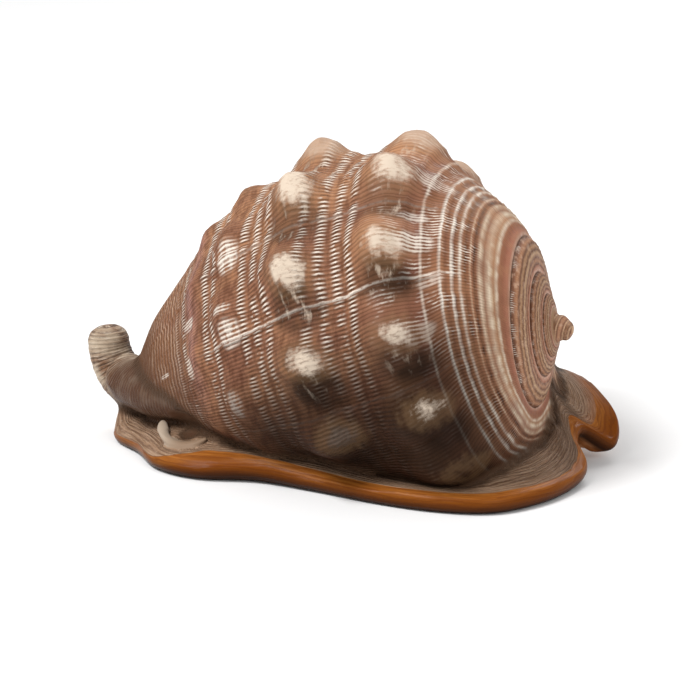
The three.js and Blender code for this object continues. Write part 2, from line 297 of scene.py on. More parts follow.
@dataclass(frozen=True)
class Axis:
    """The coiling axis, from the apex down to the siphonal canal."""

    apex: tuple[float, float, float] = (66.0, 0.0, 44.0)
    tilt: float = math.radians(14)

    def place(self, along: Array, radius: Array, angle: Array) -> Array:
        """Turns a distance along the axis, a radius and a turn angle into points."""
        down = np.array([-math.cos(self.tilt), 0, -math.sin(self.tilt)])
        rise = np.array([-math.sin(self.tilt), 0, math.cos(self.tilt)])
        side = np.array([0.0, 1.0, 0.0])
        turn = np.radians(angle)[..., None]
        return (
            np.array(self.apex)
            + along[..., None] * down
            + radius[..., None] * (np.cos(turn) * rise + np.sin(turn) * side)
        )

    def centre(self, along: float) -> Array:
        """The point on the axis at a distance along it."""
        return self.place(np.array([along]), np.zeros(1), np.zeros(1))[0]


@dataclass(frozen=True)
class KnobRow:
    """One spiral row of knobs."""

    line: float
    first: float
    height: float
    along: float
    across: float


@dataclass
class Whorls:
    """The last whorl and the spire, with their knobs, cords and growth lines.

    A row of spirals is one spiral line: its distance along the axis and its radius at the top,
    how many times each of the two grows in a turn, and how far it leans.
    """

    axis: Axis = field(default_factory=Axis)
    lip_angle: float = 140.0
    growth_room: float = 0.17
    lean_angle: float = 30.0
    line_spacing: float = 13.5
    spirals: Array = table(
        (12.2, 26.3, 1.42, 1.65, 0.16),
        (18.6, 38.3, 1.0, 1.0, 0.01),
        (35.5, 52.0, 1.51, 2.0, 0.0),
        (51.0, 54.3, 1.40, 2.1, 0.0),
        (66.5, 54.5, 1.25, 2.15, 0.0),
        (81.0, 51.5, 1.15, 2.2, 0.0),
        (93.0, 46.5, 1.10, 2.3, 0.0),
        (105.0, 38.0, 1.06, 2.4, 0.0),
        (115.0, 29.5, 1.03, 2.5, 0.0),
        (123.0, 22.0, 1.00, 2.3, 0.0),
        (129.5, 13.5, 1.00, 1.8, 0.0),
    )
    full_radius: float = 54.0
    lean_fade: float = 50.0
    skew_lines: tuple[float, ...] = (0, 0.5, 1.0, 1.35, 1.65, 2.35, 5.0, 10.0)
    skew_angles: tuple[float, ...] = (-9, -14, -15.5, -15, -11, -8, 0, 14)
    shield_angles: tuple[float, ...] = (-225, -200, -128, -106)
    growth_steps: tuple[float, ...] = (-101, -64, -33, -12, 26, 71)
    knob_step: float = 30.0
    tall_knob: float = 7.0
    shade_angle: float = 11.0
    last_knob: float = 95.0
    knob_ahead: tuple[tuple[float, ...], ...] = ((-110, -85, -60, 20), (-4, -1, 2, 2.5))
    knob_beside: tuple[tuple[float, ...], ...] = ((-110, -70, -40, 20), (0.38, 0.18, 0.1, 0.06))
    knob_rows: tuple[KnobRow, ...] = (
        KnobRow(2.22, 18, 6.8, 8.5, 7.0),
        KnobRow(3.9, 13, 7.6, 8.8, 7.0),
        KnobRow(5.4, 3.5, 3.2, 7.5, 5.5),
        KnobRow(6.35, -6.5, 2.2, 6.0, 4.5),
    )
    ridge_height: float = 0.9
    ridge_width: float = 4.5
    suture_ledge: float = 1.1
    tuck_angle: float = -124.0
    tuck_depth: float = 4.4
    bulge: float = 6.0
    bulge_angle: float = -128.0
    bulge_line: float = 1.9
    cords: tuple[float, ...] = (2.72, 3.0, 3.3, 3.62, 4.36, 4.64, 4.92, 5.74, 6.0, 6.85, 7.15)
    cord_height: float = 0.45
    cord_width: float = 1.15
    ribs: tuple[float, ...] = (0.07, 0.38, 0.55, 0.76, 0.93, 1.1, 1.225, 1.375, 1.62, 1.85)
    rib_height: float = 0.45
    rib_width: float = 0.7
    floor: float = 5.5
    wall: float = 5.5
    hollow_floor: float = 9.0
    hollow_lines: tuple[float, float] = (1.4, 8.8)
    hollow_ends: tuple[float, float] = (27.0, 119.0)
    spire_turns: int = 3
    body_ends: tuple[float, float] = (2.4, 131.5)

    def __post_init__(self) -> None:
        """Starts the second line where the lip's suture lies on the last whorl."""
        suture, second = self.spirals[0], self.spirals[1]
        at_lip = self.growth(np.array(self.lip_angle))
        back = (self.lip_angle - 360) / 360
        second[2] = (suture[0] * suture[2] ** at_lip / second[0]) ** (1 / back)
        second[3] = (suture[1] * suture[3] ** at_lip / second[1]) ** (1 / back)

    def growth(self, angle: Array) -> Array:
        """Turns of growth at an angle: even up to the top, then slowing towards the lip."""
        turns = angle / 360
        slow = self.growth_room * (1 - np.exp(-np.maximum(turns, 0) / self.growth_room))
        return np.where(turns < 0, turns, slow)

    def profile(self, angle: Array) -> tuple[Array, Array]:
        """Distances along the axis and radii of all spiral lines at some angles."""
        turns = self.growth(angle)[..., None]
        alongs, radii, along_growth, radius_growth, leans = self.spirals.T
        radius = radii * radius_growth**turns
        along = alongs * along_growth**turns
        lean = np.broadcast_to(leans, radius.shape).copy()
        near = np.exp(-(angle - self.lip_angle + 360) / self.lean_fade)
        lean[..., 1] = leans[1] + (leans[0] - leans[1]) * near
        along = along - lean * radius * np.cos(np.radians(angle[..., None] + self.lean_angle))
        later = self.growth(angle + 360)
        next_radius = radii[0] * radius_growth[0] ** later
        next_along = alongs[0] * along_growth[0] ** later - leans[0] * next_radius * np.cos(
            np.radians(angle + 360 + self.lean_angle)
        )
        older = angle < self.lip_angle - 360
        along[..., 1] = np.where(older, next_along, along[..., 1])
        radius[..., 1] = np.where(older, next_radius, radius[..., 1])
        return along, radius

    def growth_angle(self, angle: Array, line: Array) -> Array:
        """The growth line that a place lies on, as the angle where it crosses the middle line."""
        return angle + np.interp(line, self.skew_lines, self.skew_angles)

    def knob_field(self, angle: Array, line: Array, radii: Array, reach_scale: float = 1.0) -> Array:
        """Height of the knobs alone, or of wider ones, in millimetres."""
        total = np.zeros_like(angle)
        last_whorl = angle >= self.lip_angle - 360
        for row in self.knob_rows:
            row_radius = smooth_through(radii, np.full(angle.shape, row.line))
            own = smooth_through(self.spirals[:, 1], np.array(row.line))
            size = row_radius / own
            nearest = row.first - np.round((row.first - angle) / self.knob_step) * self.knob_step
            along = np.radians(angle - nearest) * row_radius
            across = (line - row.line) * self.line_spacing
            reach = np.hypot(along / (row.along * size), across / row.across) / reach_scale
            height = row.height * size * np.exp(-(reach**1.8))
            total += np.where(last_whorl & (nearest <= self.last_knob), height, 0)
        return total

    def relief(self, angle: Array, line: Array, radius: Array, radii: Array) -> Array:
        """Height of everything raised on the whorls, in millimetres."""
        last_whorl = angle >= self.lip_angle - 360
        size = radius / self.full_radius
        far, far_end, near_end, near = self.shield_angles
        clear = soft_step(angle, near_end, near) + soft_step(-angle, -far_end, -far)
        height = self.knob_field(angle, line, radii) * (0.35 + 0.65 * clear)
        for row in self.knob_rows:
            across = (line - row.line) * self.line_spacing
            ridge = self.ridge_height * size * np.exp(-((across / self.ridge_width) ** 2))
            height += np.where(last_whorl, ridge, 0)
        height += np.where(last_whorl, self.cord_field(line) * self.cord_height * size, 0) * clear
        inner = np.where(last_whorl, 1.0, np.clip(line / 0.2, 0, 1) * np.clip((1 - line) / 0.1, 0, 1))
        height += self.rib_field(line) * self.rib_height * np.clip(size * 1.4, 0, 1) * inner * clear
        inner_fade = 1 - np.minimum(line, 1) ** 2
        fade = np.where(last_whorl, np.exp(-line / 0.8), inner_fade)
        ledge = self.suture_ledge * (radius / 30) * (1 - np.exp(-line / 0.1)) * fade
        growth = self.growth_angle(angle, line)
        swell = 0.12 * np.sin(growth * 0.9) + 0.1 * np.sin(growth * 1.7 + 1.3)
        steps = sum(
            0.35 * np.exp(-(((growth - at) / 0.9) ** 2)) - 0.3 * soft_step(growth, at - 0.5, at + 0.5)
            * (1 - soft_step(growth, at + 1, at + 7))
            for at in self.growth_steps
        )
        worn = soft_step(line, 0.0, 0.3) * soft_step(10 - line, 0.3, 1.2) * np.clip(size, 0, 1)
        return height + ledge + (swell + np.where(last_whorl, steps, 0)) * worn * clear

    def tuck(self, angle: Array, line: Array) -> Array:
        """How far the low side draws in above the shield and bulges near the spire, in millimetres."""
        low = np.exp(-(((angle - self.tuck_angle) / 17) ** 2))
        drawn = self.tuck_depth * low * soft_step(line, 3.0, 4.8) * soft_step(9.6 - line, 0, 1.6)
        full = np.exp(-(((angle - self.bulge_angle) / 19) ** 2) - ((line - self.bulge_line) / 1.05) ** 2)
        return drawn - self.bulge * full

    def cord_field(self, line: Array) -> Array:
        """How much of a cord runs along a spiral line, from 0 to 1."""
        return self.lines_field(line, self.cords, self.cord_width)

    def rib_field(self, line: Array) -> Array:
        """How much of a fine rib runs along a spiral line, from 0 to 1."""
        return self.lines_field(line, self.ribs, self.rib_width)

    def lines_field(self, line: Array, centres: Sequence[float], width: float) -> Array:
        """How much of a raised thread runs along some spiral lines, from 0 to 1."""
        return sum(np.exp(-(((line - centre) * self.line_spacing / width) ** 2)) for centre in centres)

    def surface(self, angle: Array, line: Array, inset: float = 0.0, floor: float = 0.0) -> Array:
        """Points of the outer surface, or of one set inwards from it.

        Args:
            angle: Turn angles in degrees.
            line: Spiral lines, from 0 at the suture to 10 at the canal.
            inset: Distance inwards, or 0 for the outer surface with its relief.
            floor: Height below which the surface is flattened.

        Returns:
            Points in millimetres.
        """
        angle, line = np.broadcast_arrays(np.asarray(angle, float), np.asarray(line, float))
        alongs, radii = self.profile(angle)
        along = smooth_through(alongs, line)
        radius = smooth_through(radii, line)
        step = 0.02
        slope_along = smooth_through(alongs, line + step) - smooth_through(alongs, line - step)
        slope_radius = smooth_through(radii, line + step) - smooth_through(radii, line - step)
        length = np.hypot(slope_along, slope_radius) + 1e-9
        lift = -inset if inset else self.relief(angle, line, radius, radii) - self.tuck(angle, line)
        points = self.axis.place(
            along - slope_radius / length * lift, radius + slope_along / length * lift, angle
        )
        points[..., 2] = np.maximum(points[..., 2], floor)
        return points

    def pattern(self, angle: Array, line: Array) -> Array:
        """Growth line, spiral line, knobs and the shade below them, for each place."""
        angle, line = np.broadcast_arrays(np.asarray(angle, float), np.asarray(line, float))
        _, radii = self.profile(angle)
        growth = self.growth_angle(angle, line)
        ahead = np.interp(angle, *self.knob_ahead)
        beside = line + np.interp(angle, *self.knob_beside)
        knob = self.knob_field(angle + ahead, beside, radii) / self.tall_knob
        shade = self.knob_field(angle + ahead + self.shade_angle, beside, radii, 1.15) / self.tall_knob
        return np.stack([growth, line, knob, shade], -1)

    def coil(
        self,
        surface: Callable[[Array, Array], Array],
        angles: Array,
        spire: Array,
        rows: Array,
        turns: int,
        start: float,
        end: float,
    ) -> Surface:
        """Builds a closed surface of one turn, joined to its spire turns along the suture.

        Args:
            surface: Gives the points at turn angles and spiral lines.
            angles: The columns' angles on the last turn.
            spire: Lines of the strip that the spire turns share.
            rows: Lines of the last turn beyond that strip.
            turns: How many spire turns follow.
            start: Distance along the axis where the inner end closes.
            end: Distance along the axis where the outer end closes.

        Returns:
            The closed surface.
        """
        made = Surface()
        joined = len(spire) - 1
        last = len(angles) - 1
        every = np.concatenate([spire, rows])
        column, row = np.meshgrid(angles, every, indexing="ij")
        first = made.add_points(surface(column, row))
        first[last, 0] = first[0, joined]
        made.add_grid(first, self.pattern(column, row))
        outer = first
        for turn in range(1, turns + 1):
            column, row = np.meshgrid(angles - 360 * turn, spire, indexing="ij")
            inner = made.add_points(surface(column, row))
            inner[:, joined] = outer[:, 0]
            inner[last, :joined] = outer[0, :joined]
            made.add_grid(inner, self.pattern(column, row))
            outer = inner
        made.add_triangles(self.lip_step(first[last], first[0, joined:]), (self.lip_angle, 5, 0, 0))
        for ring, along, pattern in (
            ([*first[:, -1]], end, (0, 10, 0, 0)),
            ([*outer[0, 1:joined], *outer[::-1, 0]], start, (APEX_GROWTH, 0.5, 0, 0)),
        ):
            made.add_fan([*ring, ring[0]], self.axis.centre(along), pattern)
        return made

    @staticmethod
    def lip_step(lip: Array, older: Array) -> list[tuple[int, int, int]]:
        """Triangles of the step from the lip down to the older whorl."""
        faces = []
        new = old = 0
        while new < len(lip) - 1 or old < len(older) - 1:
            if (new + 1) / (len(lip) - 1) <= (old + 1) / (len(older) - 1):
                faces.append((lip[new], older[old], lip[new + 1]))
                new += 1
            else:
                faces.append((lip[new], older[old], older[old + 1]))
                old += 1
        return faces

    def build(self, skins: Skins) -> bpy.types.Object:
        """Makes the whorls as one closed solid."""
        hidden, seen = 4.0, 1.0
        angles = np.concatenate(
            [
                np.arange(self.lip_angle - 360, -140, hidden),
                np.arange(-140, 120, seen),
                np.arange(120, self.lip_angle + 0.1, hidden),
            ]
        )
        spire = np.array([0, 0.03, 0.07, 0.12, 0.18, 0.25, 0.33, 0.41, 0.5, 0.59, 0.68, 0.77, 0.86, 0.94, 1])
        rows = np.concatenate([np.arange(1.05, 8.5, 0.053), np.linspace(8.5, 10, 11)])
        made = self.coil(
            lambda angle, line: self.surface(angle, line, floor=self.floor),
            angles,
            spire,
            rows,
            self.spire_turns,
            *self.body_ends,
        )
        return made.to_object("whorls", Skin.WHORLS, skins)

    def build_hollow(self, skins: Skins) -> bpy.types.Object:
        """Makes the solid that is cut out of the last whorl."""
        lines = np.linspace(*self.hollow_lines, 16)
        made = self.coil(
            lambda angle, line: self.surface(angle, line, self.wall, self.hollow_floor),
            np.linspace(self.lip_angle - 360, self.lip_angle, 57),
            lines[:1],
            lines[1:],
            0,
            *self.hollow_ends,
        )
        return made.to_object("hollow", Skin.INNER, skins)


@dataclass
class Tube:
    """A closed tube along a smooth centre line, with a rounded far end.

    Its centre line can lie off the given one by a share of the radii, and its own radius can
    be even. The span is the share of the line that it follows, and runs straight on past 1.
    """

    centres: Array
    radii: Array
    flatness: float = 1.0
    steps: int = 48
    sides: int = 36
    offset: float = 0.0
    even_radius: float = 0.0
    rings: float = 0.0
    ring_step: float = 2.3
    tip: float = 0.1
    tip_curve: float = 2.6
    span: tuple[float, float] = (0.0, 1.0)
    tone: float = HOOK_TONE
    both_round: bool = False
    side: tuple[float, float, float] = (0.0, 1.0, 0.0)

    def build(self, name: str, skin: Skin, skins: Skins) -> bpy.types.Object:
        """Makes the tube as a closed solid with rings of growth round it."""
        last = len(self.centres) - 1
        share = np.linspace(self.span[0], self.span[1], self.steps)
        place = share * last
        path = np.stack([smooth_through(column, place) for column in self.centres.T], -1)
        if self.span[1] > 1:
            path += np.outer(np.maximum(share - 1, 0) * last, self.centres[-1] - self.centres[-2])
        radius = smooth_through(self.radii, place)
        tangent = np.gradient(path, axis=0)
        tangent /= np.linalg.norm(tangent, axis=1)[:, None]
        outward = np.cross(tangent, np.array(self.side))
        outward /= np.linalg.norm(outward, axis=1)[:, None]
        across = np.cross(outward, tangent)
        length = np.concatenate([[0], np.cumsum(np.linalg.norm(np.diff(path, axis=0), axis=1))])
        grown = radius + self.rings * np.sin(length * 2 * math.pi / self.ring_step)
        if self.tip:
            near_end = np.clip((share - (self.span[1] - self.tip)) / self.tip, 0, 1)
            grown = grown * np.sqrt(np.maximum(1 - near_end**self.tip_curve, 0.0))
        if self.both_round:
            near_start = np.clip((self.span[0] + self.tip - share) / self.tip, 0, 1)
            grown = grown * np.sqrt(np.maximum(1 - near_start**self.tip_curve, 0.0))
        turn = np.linspace(0, 2 * math.pi, self.sides + 1)
        middles = (path + (self.offset * radius)[:, None] * outward)[:, None]
        points = (
            middles
            + (grown * self.flatness)[:, None, None] * np.cos(turn)[:, None] * outward[:, None]
            + grown[:, None, None] * np.sin(turn)[:, None] * across[:, None]
        )
        first_end, last_end = points[0].mean(0), points[-1].mean(0)
        if self.even_radius:
            reach = points - middles
            points = middles + reach * (self.even_radius / np.linalg.norm(reach, axis=2))[..., None]
        made = Surface()
        numbers = made.add_points(points)
        numbers[:, -1] = numbers[:, 0]
        around, along = np.meshgrid(turn, length)
        pattern = np.stack([around, along, np.full_like(along, self.tone), 0 * along], -1)
        made.add_grid(numbers, pattern)
        made.add_fan(numbers[0, ::-1], first_end, (0, 0, self.tone, 0))
        made.add_fan(numbers[-1], last_end, (0, length[-1], self.tone, 0))
        return made.to_object(name, skin, skins)


@dataclass
class Canal:
    """The recurved siphonal canal with the groove along its outer side.

    The rows of its line and of its fold are x, y, z and radius.
    """

    line: Array = table(
        (-47, 4, 19, 11.5),
        (-58, 4, 13, 10.6),
        (-66.5, 4, 12, 9),
        (-73, 4.5, 16, 7.5),
        (-76.3, 5, 22, 6.8),
        (-77.3, 5.5, 30, 6.6),
    )
    fold: Array = table(
        (-70, 3, 15.5, 7.0),
        (-65, -4, 15.5, 7.3),
        (-57.5, -11.5, 15.5, 6.6),
        (-48, -17, 16.0, 5.8),
        (-37, -21, 17.5, 5.4),
        (-25, -23, 20, 4.5),
    )
    flatness: float = 0.9
    groove_radius: float = 2.6

    def build_fold(self, skins: Skins) -> bpy.types.Object:
        """Makes the fold that carries the canal's old edges round the body."""
        tube = Tube(self.fold[:, :3], self.fold[:, 3], 1.0, 56, 32, rings=0.08, tip=0.3, tone=FOLD_TONE)
        return tube.build("fold", Skin.CANAL, skins)

    def build(self, skins: Skins) -> bpy.types.Object:
        """Makes the canal's tube."""
        tube = Tube(self.line[:, :3], self.line[:, 3], self.flatness, 96, 44, rings=0.07, tip=0.13)
        return tube.build("canal", Skin.CANAL, skins)

    def build_groove(self, skins: Skins) -> bpy.types.Object:
        """Makes the solid that cuts the groove."""
        path = Tube(
            self.line[:, :3],
            self.line[:, 3],
            steps=40,
            sides=20,
            offset=0.85,
            even_radius=self.groove_radius,
            tip=0.0,
            span=(0.1, 1.05),
            tone=FOLD_TONE,
        )
        return path.build("groove", Skin.INNER, skins)


@dataclass
class Aperture:
    """The shield and the outer lip round the toothed aperture.

    A row of the rim is one station: x, y, the height of its underside, its radius, the width of
    the sheet inside it, and the height where that sheet meets the whorls.
    """

    rim: Array = table(
        (-68, -12, 0, 2.4, 13, 10),
        (-56, -23, 0, 2.6, 15, 11),
        (-45, -35, 0, 2.9, 17, 12.5),
        (-31, -39.5, 0, 3.4, 16, 15.5),
        (-14, -36.5, 0, 3.9, 11, 15.5),
        (4, -38.5, 0, 3, 10, 11.5),
        (24, -42.5, 0, 2.7, 9, 5.8),
        (42, -43.5, 0, 2.6, 8, 5.2),
        (57, -39.5, 0, 2.6, 8, 5.2),
        (67, -27, 0, 2.5, 11, 6.6),
        (72, -12, 0.3, 2.3, 15, 11.5),
        (72.5, -1, 2, 2, 17, 19.5),
        (67.5, 7, 6, 1.9, 12, 20.5),
        (67.5, 14, 8.2, 1.9, 12, 22),
        (74.5, 20, 2.6, 2.2, 18, 23),
        (74, 27, 6.5, 2.2, 19, 24),
        (68.5, 33, 11, 2.2, 17, 26),
        (57.5, 41, 15, 2.4, 12, 25),
        (42, 53, 11, 3, 9, 22),
        (24, 61.5, 7, 3.8, 8, 18),
        (4, 65, 4.5, 4.4, 8, 15),
        (-17, 60.5, 3.5, 4.4, 8, 14),
        (-36, 49.5, 3, 4, 9, 14),
        (-52, 34, 3, 3.4, 10, 13),
        (-64, 17, 4, 2.7, 11, 13),
        (-71, 3, 5, 2.3, 11, 13),
    )
    orange_width: Array = field(
        default_factory=lambda: np.array(
            [0.6, 0.9, 1.6, 6.2, 5.6, 4.2, 4.2, 4.8, 5.0, 5.0, 4.2, 3.2, 3.2, 5.5]
            + [7.5, 7.0, 5.5, 4.0, 4.0, 5.0, 5.5, 5.5, 5.0, 4.0, 2.0, 1.0, 0.6]
        )
    )
    slot_left: float = -62.0
    slot_right: float = 57.0
    slot_half_width: float = 5.0
    slot_left_y: float = 2.0
    slot_right_y: float = 12.0
    slot_bow: float = 15.3
    slot_top: float = 18.0
    slot_spare: float = 0.4
    teeth: int = 42
    lip_tooth: float = 0.9
    shield_tooth: float = 0.6
    stations: int = 420
    section: int = 52
    half_size: tuple[float, float] = (74.0, 48.0)
    outer_edge: int = 8
    notch_station: float = 11.8
    notch_reach: float = 1.6
    fold_step: float = 2.7
    fine_fold_step: float = 1.5

    def slot_middle(self, x: Array) -> Array:
        """Middle of the slot across the shell."""
        share = np.clip((x - self.slot_left) / (self.slot_right - self.slot_left), 0, 1)
        return (
            self.slot_left_y
            + (self.slot_right_y - self.slot_left_y) * share
            + self.slot_bow * 4 * share * (1 - share)
        )

    def slot_edge(self, turn: Array, spare: float = 0.0) -> Array:
        """Edge of the slot in the direction of a turn round it."""
        half = (self.slot_right - self.slot_left) / 2 + spare
        x = (self.slot_left + self.slot_right) / 2 + half * np.cos(turn)
        across = np.sign(np.sin(turn)) * np.abs(np.sin(turn)) ** 0.6
        return np.stack([x, self.slot_middle(x) + (self.slot_half_width + spare) * across], -1)

    def build(self, skins: Skins) -> bpy.types.Object:
        """Makes the ring of the shield and the lip."""
        share = np.arange(self.stations) / self.stations
        x, y, under, edge, sheet, meet = smooth_loop(self.rim, self.stations).T
        outer = np.stack([x, y], -1)
        turn = np.arctan2((y - self.slot_middle(x)) / self.half_size[1], x / self.half_size[0])
        inner = self.slot_edge(turn)
        out = outer - inner
        out /= np.linalg.norm(out, axis=1)[:, None]
        lip = np.clip(np.sin(turn) * 1.5, 0, 1)
        fade = np.clip(np.abs(np.sin(turn)) * 2 - 0.5, 0, 1)
        tooth = np.where(lip > 0, self.lip_tooth, self.shield_tooth) * fade
        crest = np.cos(2 * math.pi * self.teeth * share)
        inner = inner - out * (tooth * crest)[:, None]
        width = np.linalg.norm(outer - inner, axis=1)

        def mix(shield: Array | float, outer_lip: Array | float) -> Array:
            """Blends a shield value into an outer lip value."""
            return shield + (outer_lip - shield) * lip

        lift = mix(under * 0.8, np.maximum(under - 7, 0) * 0.45)
        slot_z = 4.5 + under * 0.7
        top_z = slot_z + 8
        rim_top = under + 2.05 * edge
        sheet = np.minimum(sheet, width - edge - 1)
        inward = width - edge - sheet
        ridge = 0.35 * crest * fade
        sections = [
            (0 * width, slot_z + 3.5),
            (0.03 * width, slot_z + 0.6 - ridge),
            (0.12 * width, slot_z - 0.6 - ridge),
            (0.35 * width, mix(3, 1.2) + lift),
            (mix(0.6, 0.5) * width, mix(2.4, 0) + lift),
            (mix(width - 2.6 * edge, 0.68 * width), mix(under, lift)),
            (width - edge, under),
            (width - 0.25 * edge, under + 0.35 * edge),
            (width, under + edge),
            (width - 0.3 * edge, under + 1.75 * edge),
            (width - 1.1 * edge, rim_top),
            (width - edge - 0.5 * sheet, rim_top + (meet - rim_top) * 0.3),
            (inward, meet),
            (np.maximum(inward - 7, 0.5 * inward), np.maximum(meet + 2, top_z)),
            (0.25 * inward, top_z),
            (0 * width, top_z - 1),
        ]
        distance = np.stack([row[0] for row in sections], 0)
        height = np.stack([row[1] for row in sections], 0)
        rows = smooth_loop(np.concatenate([distance, height], 1), self.section)
        distance, height = rows[:, : self.stations], rows[:, self.stations :]
        place = np.arange(self.section + 1) * len(sections) / self.section
        height = height + self.ripples(distance, width, edge, place[:-1], share)
        points = np.zeros((self.stations, self.section, 3))
        points[..., :2] = inner[:, None] + out[:, None] * distance.T[..., None]
        points[..., 2] = np.maximum(height.T, 0)
        return self.close_ring(points, place, share).to_object("aperture", Skin.SHIELD, skins)

    def ripples(self, distance: Array, width: Array, edge: Array, place: Array, share: Array) -> Array:
        """Low folds along the rim on top of the sheet, higher round the notch.

        Args:
            distance: Distance of each section point from the slot.
            width: Width of each section.
            edge: Radius of the rounded rim of each section.
            place: Number of each point along the section.
            share: Share of the way round of each section.

        Returns:
            Extra height of each section point.
        """
        from_rim = width - distance
        on_sheet = soft_step(place, 9.6, 10.6) * soft_step(12.2 - place, 0, 0.9)
        station = share * len(self.rim)
        notch = np.exp(-(((station - self.notch_station) / self.notch_reach) ** 2))
        phase = (from_rim - edge) * 2 * math.pi
        fold = np.sin(phase / self.fold_step + 0.6 * np.sin(station * 1.3))
        fine = np.sin(phase / self.fine_fold_step + 0.9 * np.sin(station * 2.1))
        return on_sheet[:, None] * ((0.12 + 0.7 * notch) * fold + 0.06 * fine)

    def close_ring(self, points: Array, place: Array, share: Array) -> Surface:
        """Closes the sections into a ring and measures each place from the rim's outer edge.

        Args:
            points: One section of points for each station.
            place: Number along the section of each of its points, and of the first one again.
            share: Share of the way round of each station.

        Returns:
            The closed ring.
        """
        closed = np.concatenate([points, points[:, :1]], 1)
        steps = np.linalg.norm(np.diff(closed, axis=1), axis=2)
        length = np.concatenate([np.zeros((len(points), 1)), np.cumsum(steps, 1)], 1)
        edge = np.argmin(np.abs(place - self.outer_edge))
        across = length - length[:, edge : edge + 1]
        made = Surface()
        numbers = made.add_points(points)
        numbers = np.concatenate([numbers, numbers[:, :1]], 1)
        numbers = np.concatenate([numbers, numbers[:1]], 0)
        around = np.concatenate([share, [1.0]]) * len(self.rim)
        across = np.concatenate([across, across[:1]], 0)
        station, number = np.meshgrid(around, place, indexing="ij")
        border = across - smooth_through(self.orange_width, station)
        made.add_grid(numbers, np.stack([station, across, number, border], -1))
        return made

    def build_slot(self, skins: Skins) -> bpy.types.Object:
        """Makes the solid that opens the aperture, from a cylinder shaped to the slot."""
        sides = 120
        deselect_all()
        depth = self.slot_top + 1
        bpy.ops.mesh.primitive_cylinder_add(
            vertices=sides, radius=1, depth=depth, location=(0, 0, depth / 2 - 1)
        )
        slot = bpy.context.object
        slot.name = "slot"
        bpy.ops.object.transform_apply(location=True)
        points = read(slot.data.vertices, "co", float, 3)
        edge = self.slot_edge(np.arctan2(points[:, 1], points[:, 0]), self.slot_spare)
        write_points(slot.data, (np.concatenate([edge, points[:, 2:]], 1) - MIDDLE) * MILLIMETRE)
        return dress_cutter(slot, Skin.INNER, skins)


@dataclass
class Umbilicus:
    """The hollow beside the canal with its pale rim, which is x, y, z and radius in rows."""

    place: tuple[float, float, float] = (-41.0, -25.6, 11.8)
    half: tuple[float, float, float] = (7.4, 4.0, 3.7)
    turn: float = math.radians(-12)
    rim_flatness: float = 1.7
    rim: Array = table(
        (-49.3, -18.5, 10.0, 0.9),
        (-47.6, -22.5, 8.9, 1.0),
        (-44.5, -27.5, 7.8, 1.1),
        (-39.5, -30.8, 7.4, 1.1),
        (-34.5, -31.2, 8.2, 1.1),
        (-30.0, -29.5, 10.2, 1.0),
    )

    def build_rim(self, skins: Skins) -> bpy.types.Object:
        """Makes the pale rim that bends round the hollow."""
        tube = Tube(
            self.rim[:, :3],
            self.rim[:, 3],
            self.rim_flatness,
            steps=60,
            sides=24,
            tip=0.3,
            tone=PALE_TONE,
            both_round=True,
            side=(0.0, 0.0, 1.0),
        )
        return tube.build("hollow_rim", Skin.CANAL, skins)

    def build_cut(self, skins: Skins) -> bpy.types.Object:
        """Makes the solid that cuts the hollow, from a ball stretched and turned in place."""
        deselect_all()
        place = (np.array(self.place) - MIDDLE) * MILLIMETRE
        bpy.ops.mesh.primitive_uv_sphere_add(segments=40, ring_count=24, radius=MILLIMETRE, location=place)
        cut = bpy.context.object
        cut.name = "umbilicus"
        cut.scale = self.half
        cut.rotation_euler = (0, 0, self.turn)
        bpy.ops.object.transform_apply(location=True, rotation=True, scale=True)
        return dress_cutter(cut, Skin.CANAL, skins)


@dataclass
class Nub:
    """The first whorls, which stand up at the apex."""

    along: float = 3.2
    base: float = 6.0
    tip: float = 2.5
    length: float = 4.6
    winding: float = 17.0

    def build(self, axis: Axis, skins: Skins) -> bpy.types.Object:
        """Makes the nub as a short spiral cone on the axis."""
        middle = axis.centre(self.along)
        reach = np.linspace(-1, 1, 40)
        share = (reach + 1) / 2
        path = middle + np.outer(reach * self.length * 0.98, [1.0, 0.0, -0.04])
        taper = self.base + (self.tip - self.base) * share**0.8
        profile = taper * np.sqrt(np.maximum(1 - np.abs(reach) ** 5, 0.0))
        turn = np.linspace(0, 2 * math.pi, 37)
        wound = 1 + 0.07 * np.sin(turn[None] - share[:, None] * self.winding)
        ring = (profile[:, None] * wound)[..., None]
        points = (
            path[:, None]
            + ring * np.cos(turn)[:, None] * np.array([0.0, 0.0, 1.0])
            + ring * np.sin(turn)[:, None] * np.array([0.0, 1.0, 0.0])
        )
        made = Surface()
        numbers = made.add_points(points[1:-1])
        numbers[:, -1] = numbers[:, 0]
        around, along = np.meshgrid(turn, share[1:-1])
        line = 0.44 - 0.14 * np.cos(around - along * self.winding)
        made.add_grid(numbers, np.stack([around * 10 + APEX_GROWTH, line, 0 * along, 0 * along], -1))
        made.add_fan(numbers[0], path[0], (APEX_GROWTH, 0.46, 0, 0))
        made.add_fan(numbers[-1], path[-1], (APEX_GROWTH, 0.46, 0, 0))
        return made.to_object("nub", Skin.WHORLS, skins)


def paint(code: str) -> tuple[float, float, float, float]:
    """Turns a screen colour such as 8a5a40 into the linear colour of a shader."""
    shares = [int(code[start : start + 2], 16) / 255 for start in (0, 2, 4)]
    linear = [each / 12.92 if each <= 0.04045 else ((each + 0.055) / 1.055) ** 2.4 for each in shares]
    return (*linear, 1.0)


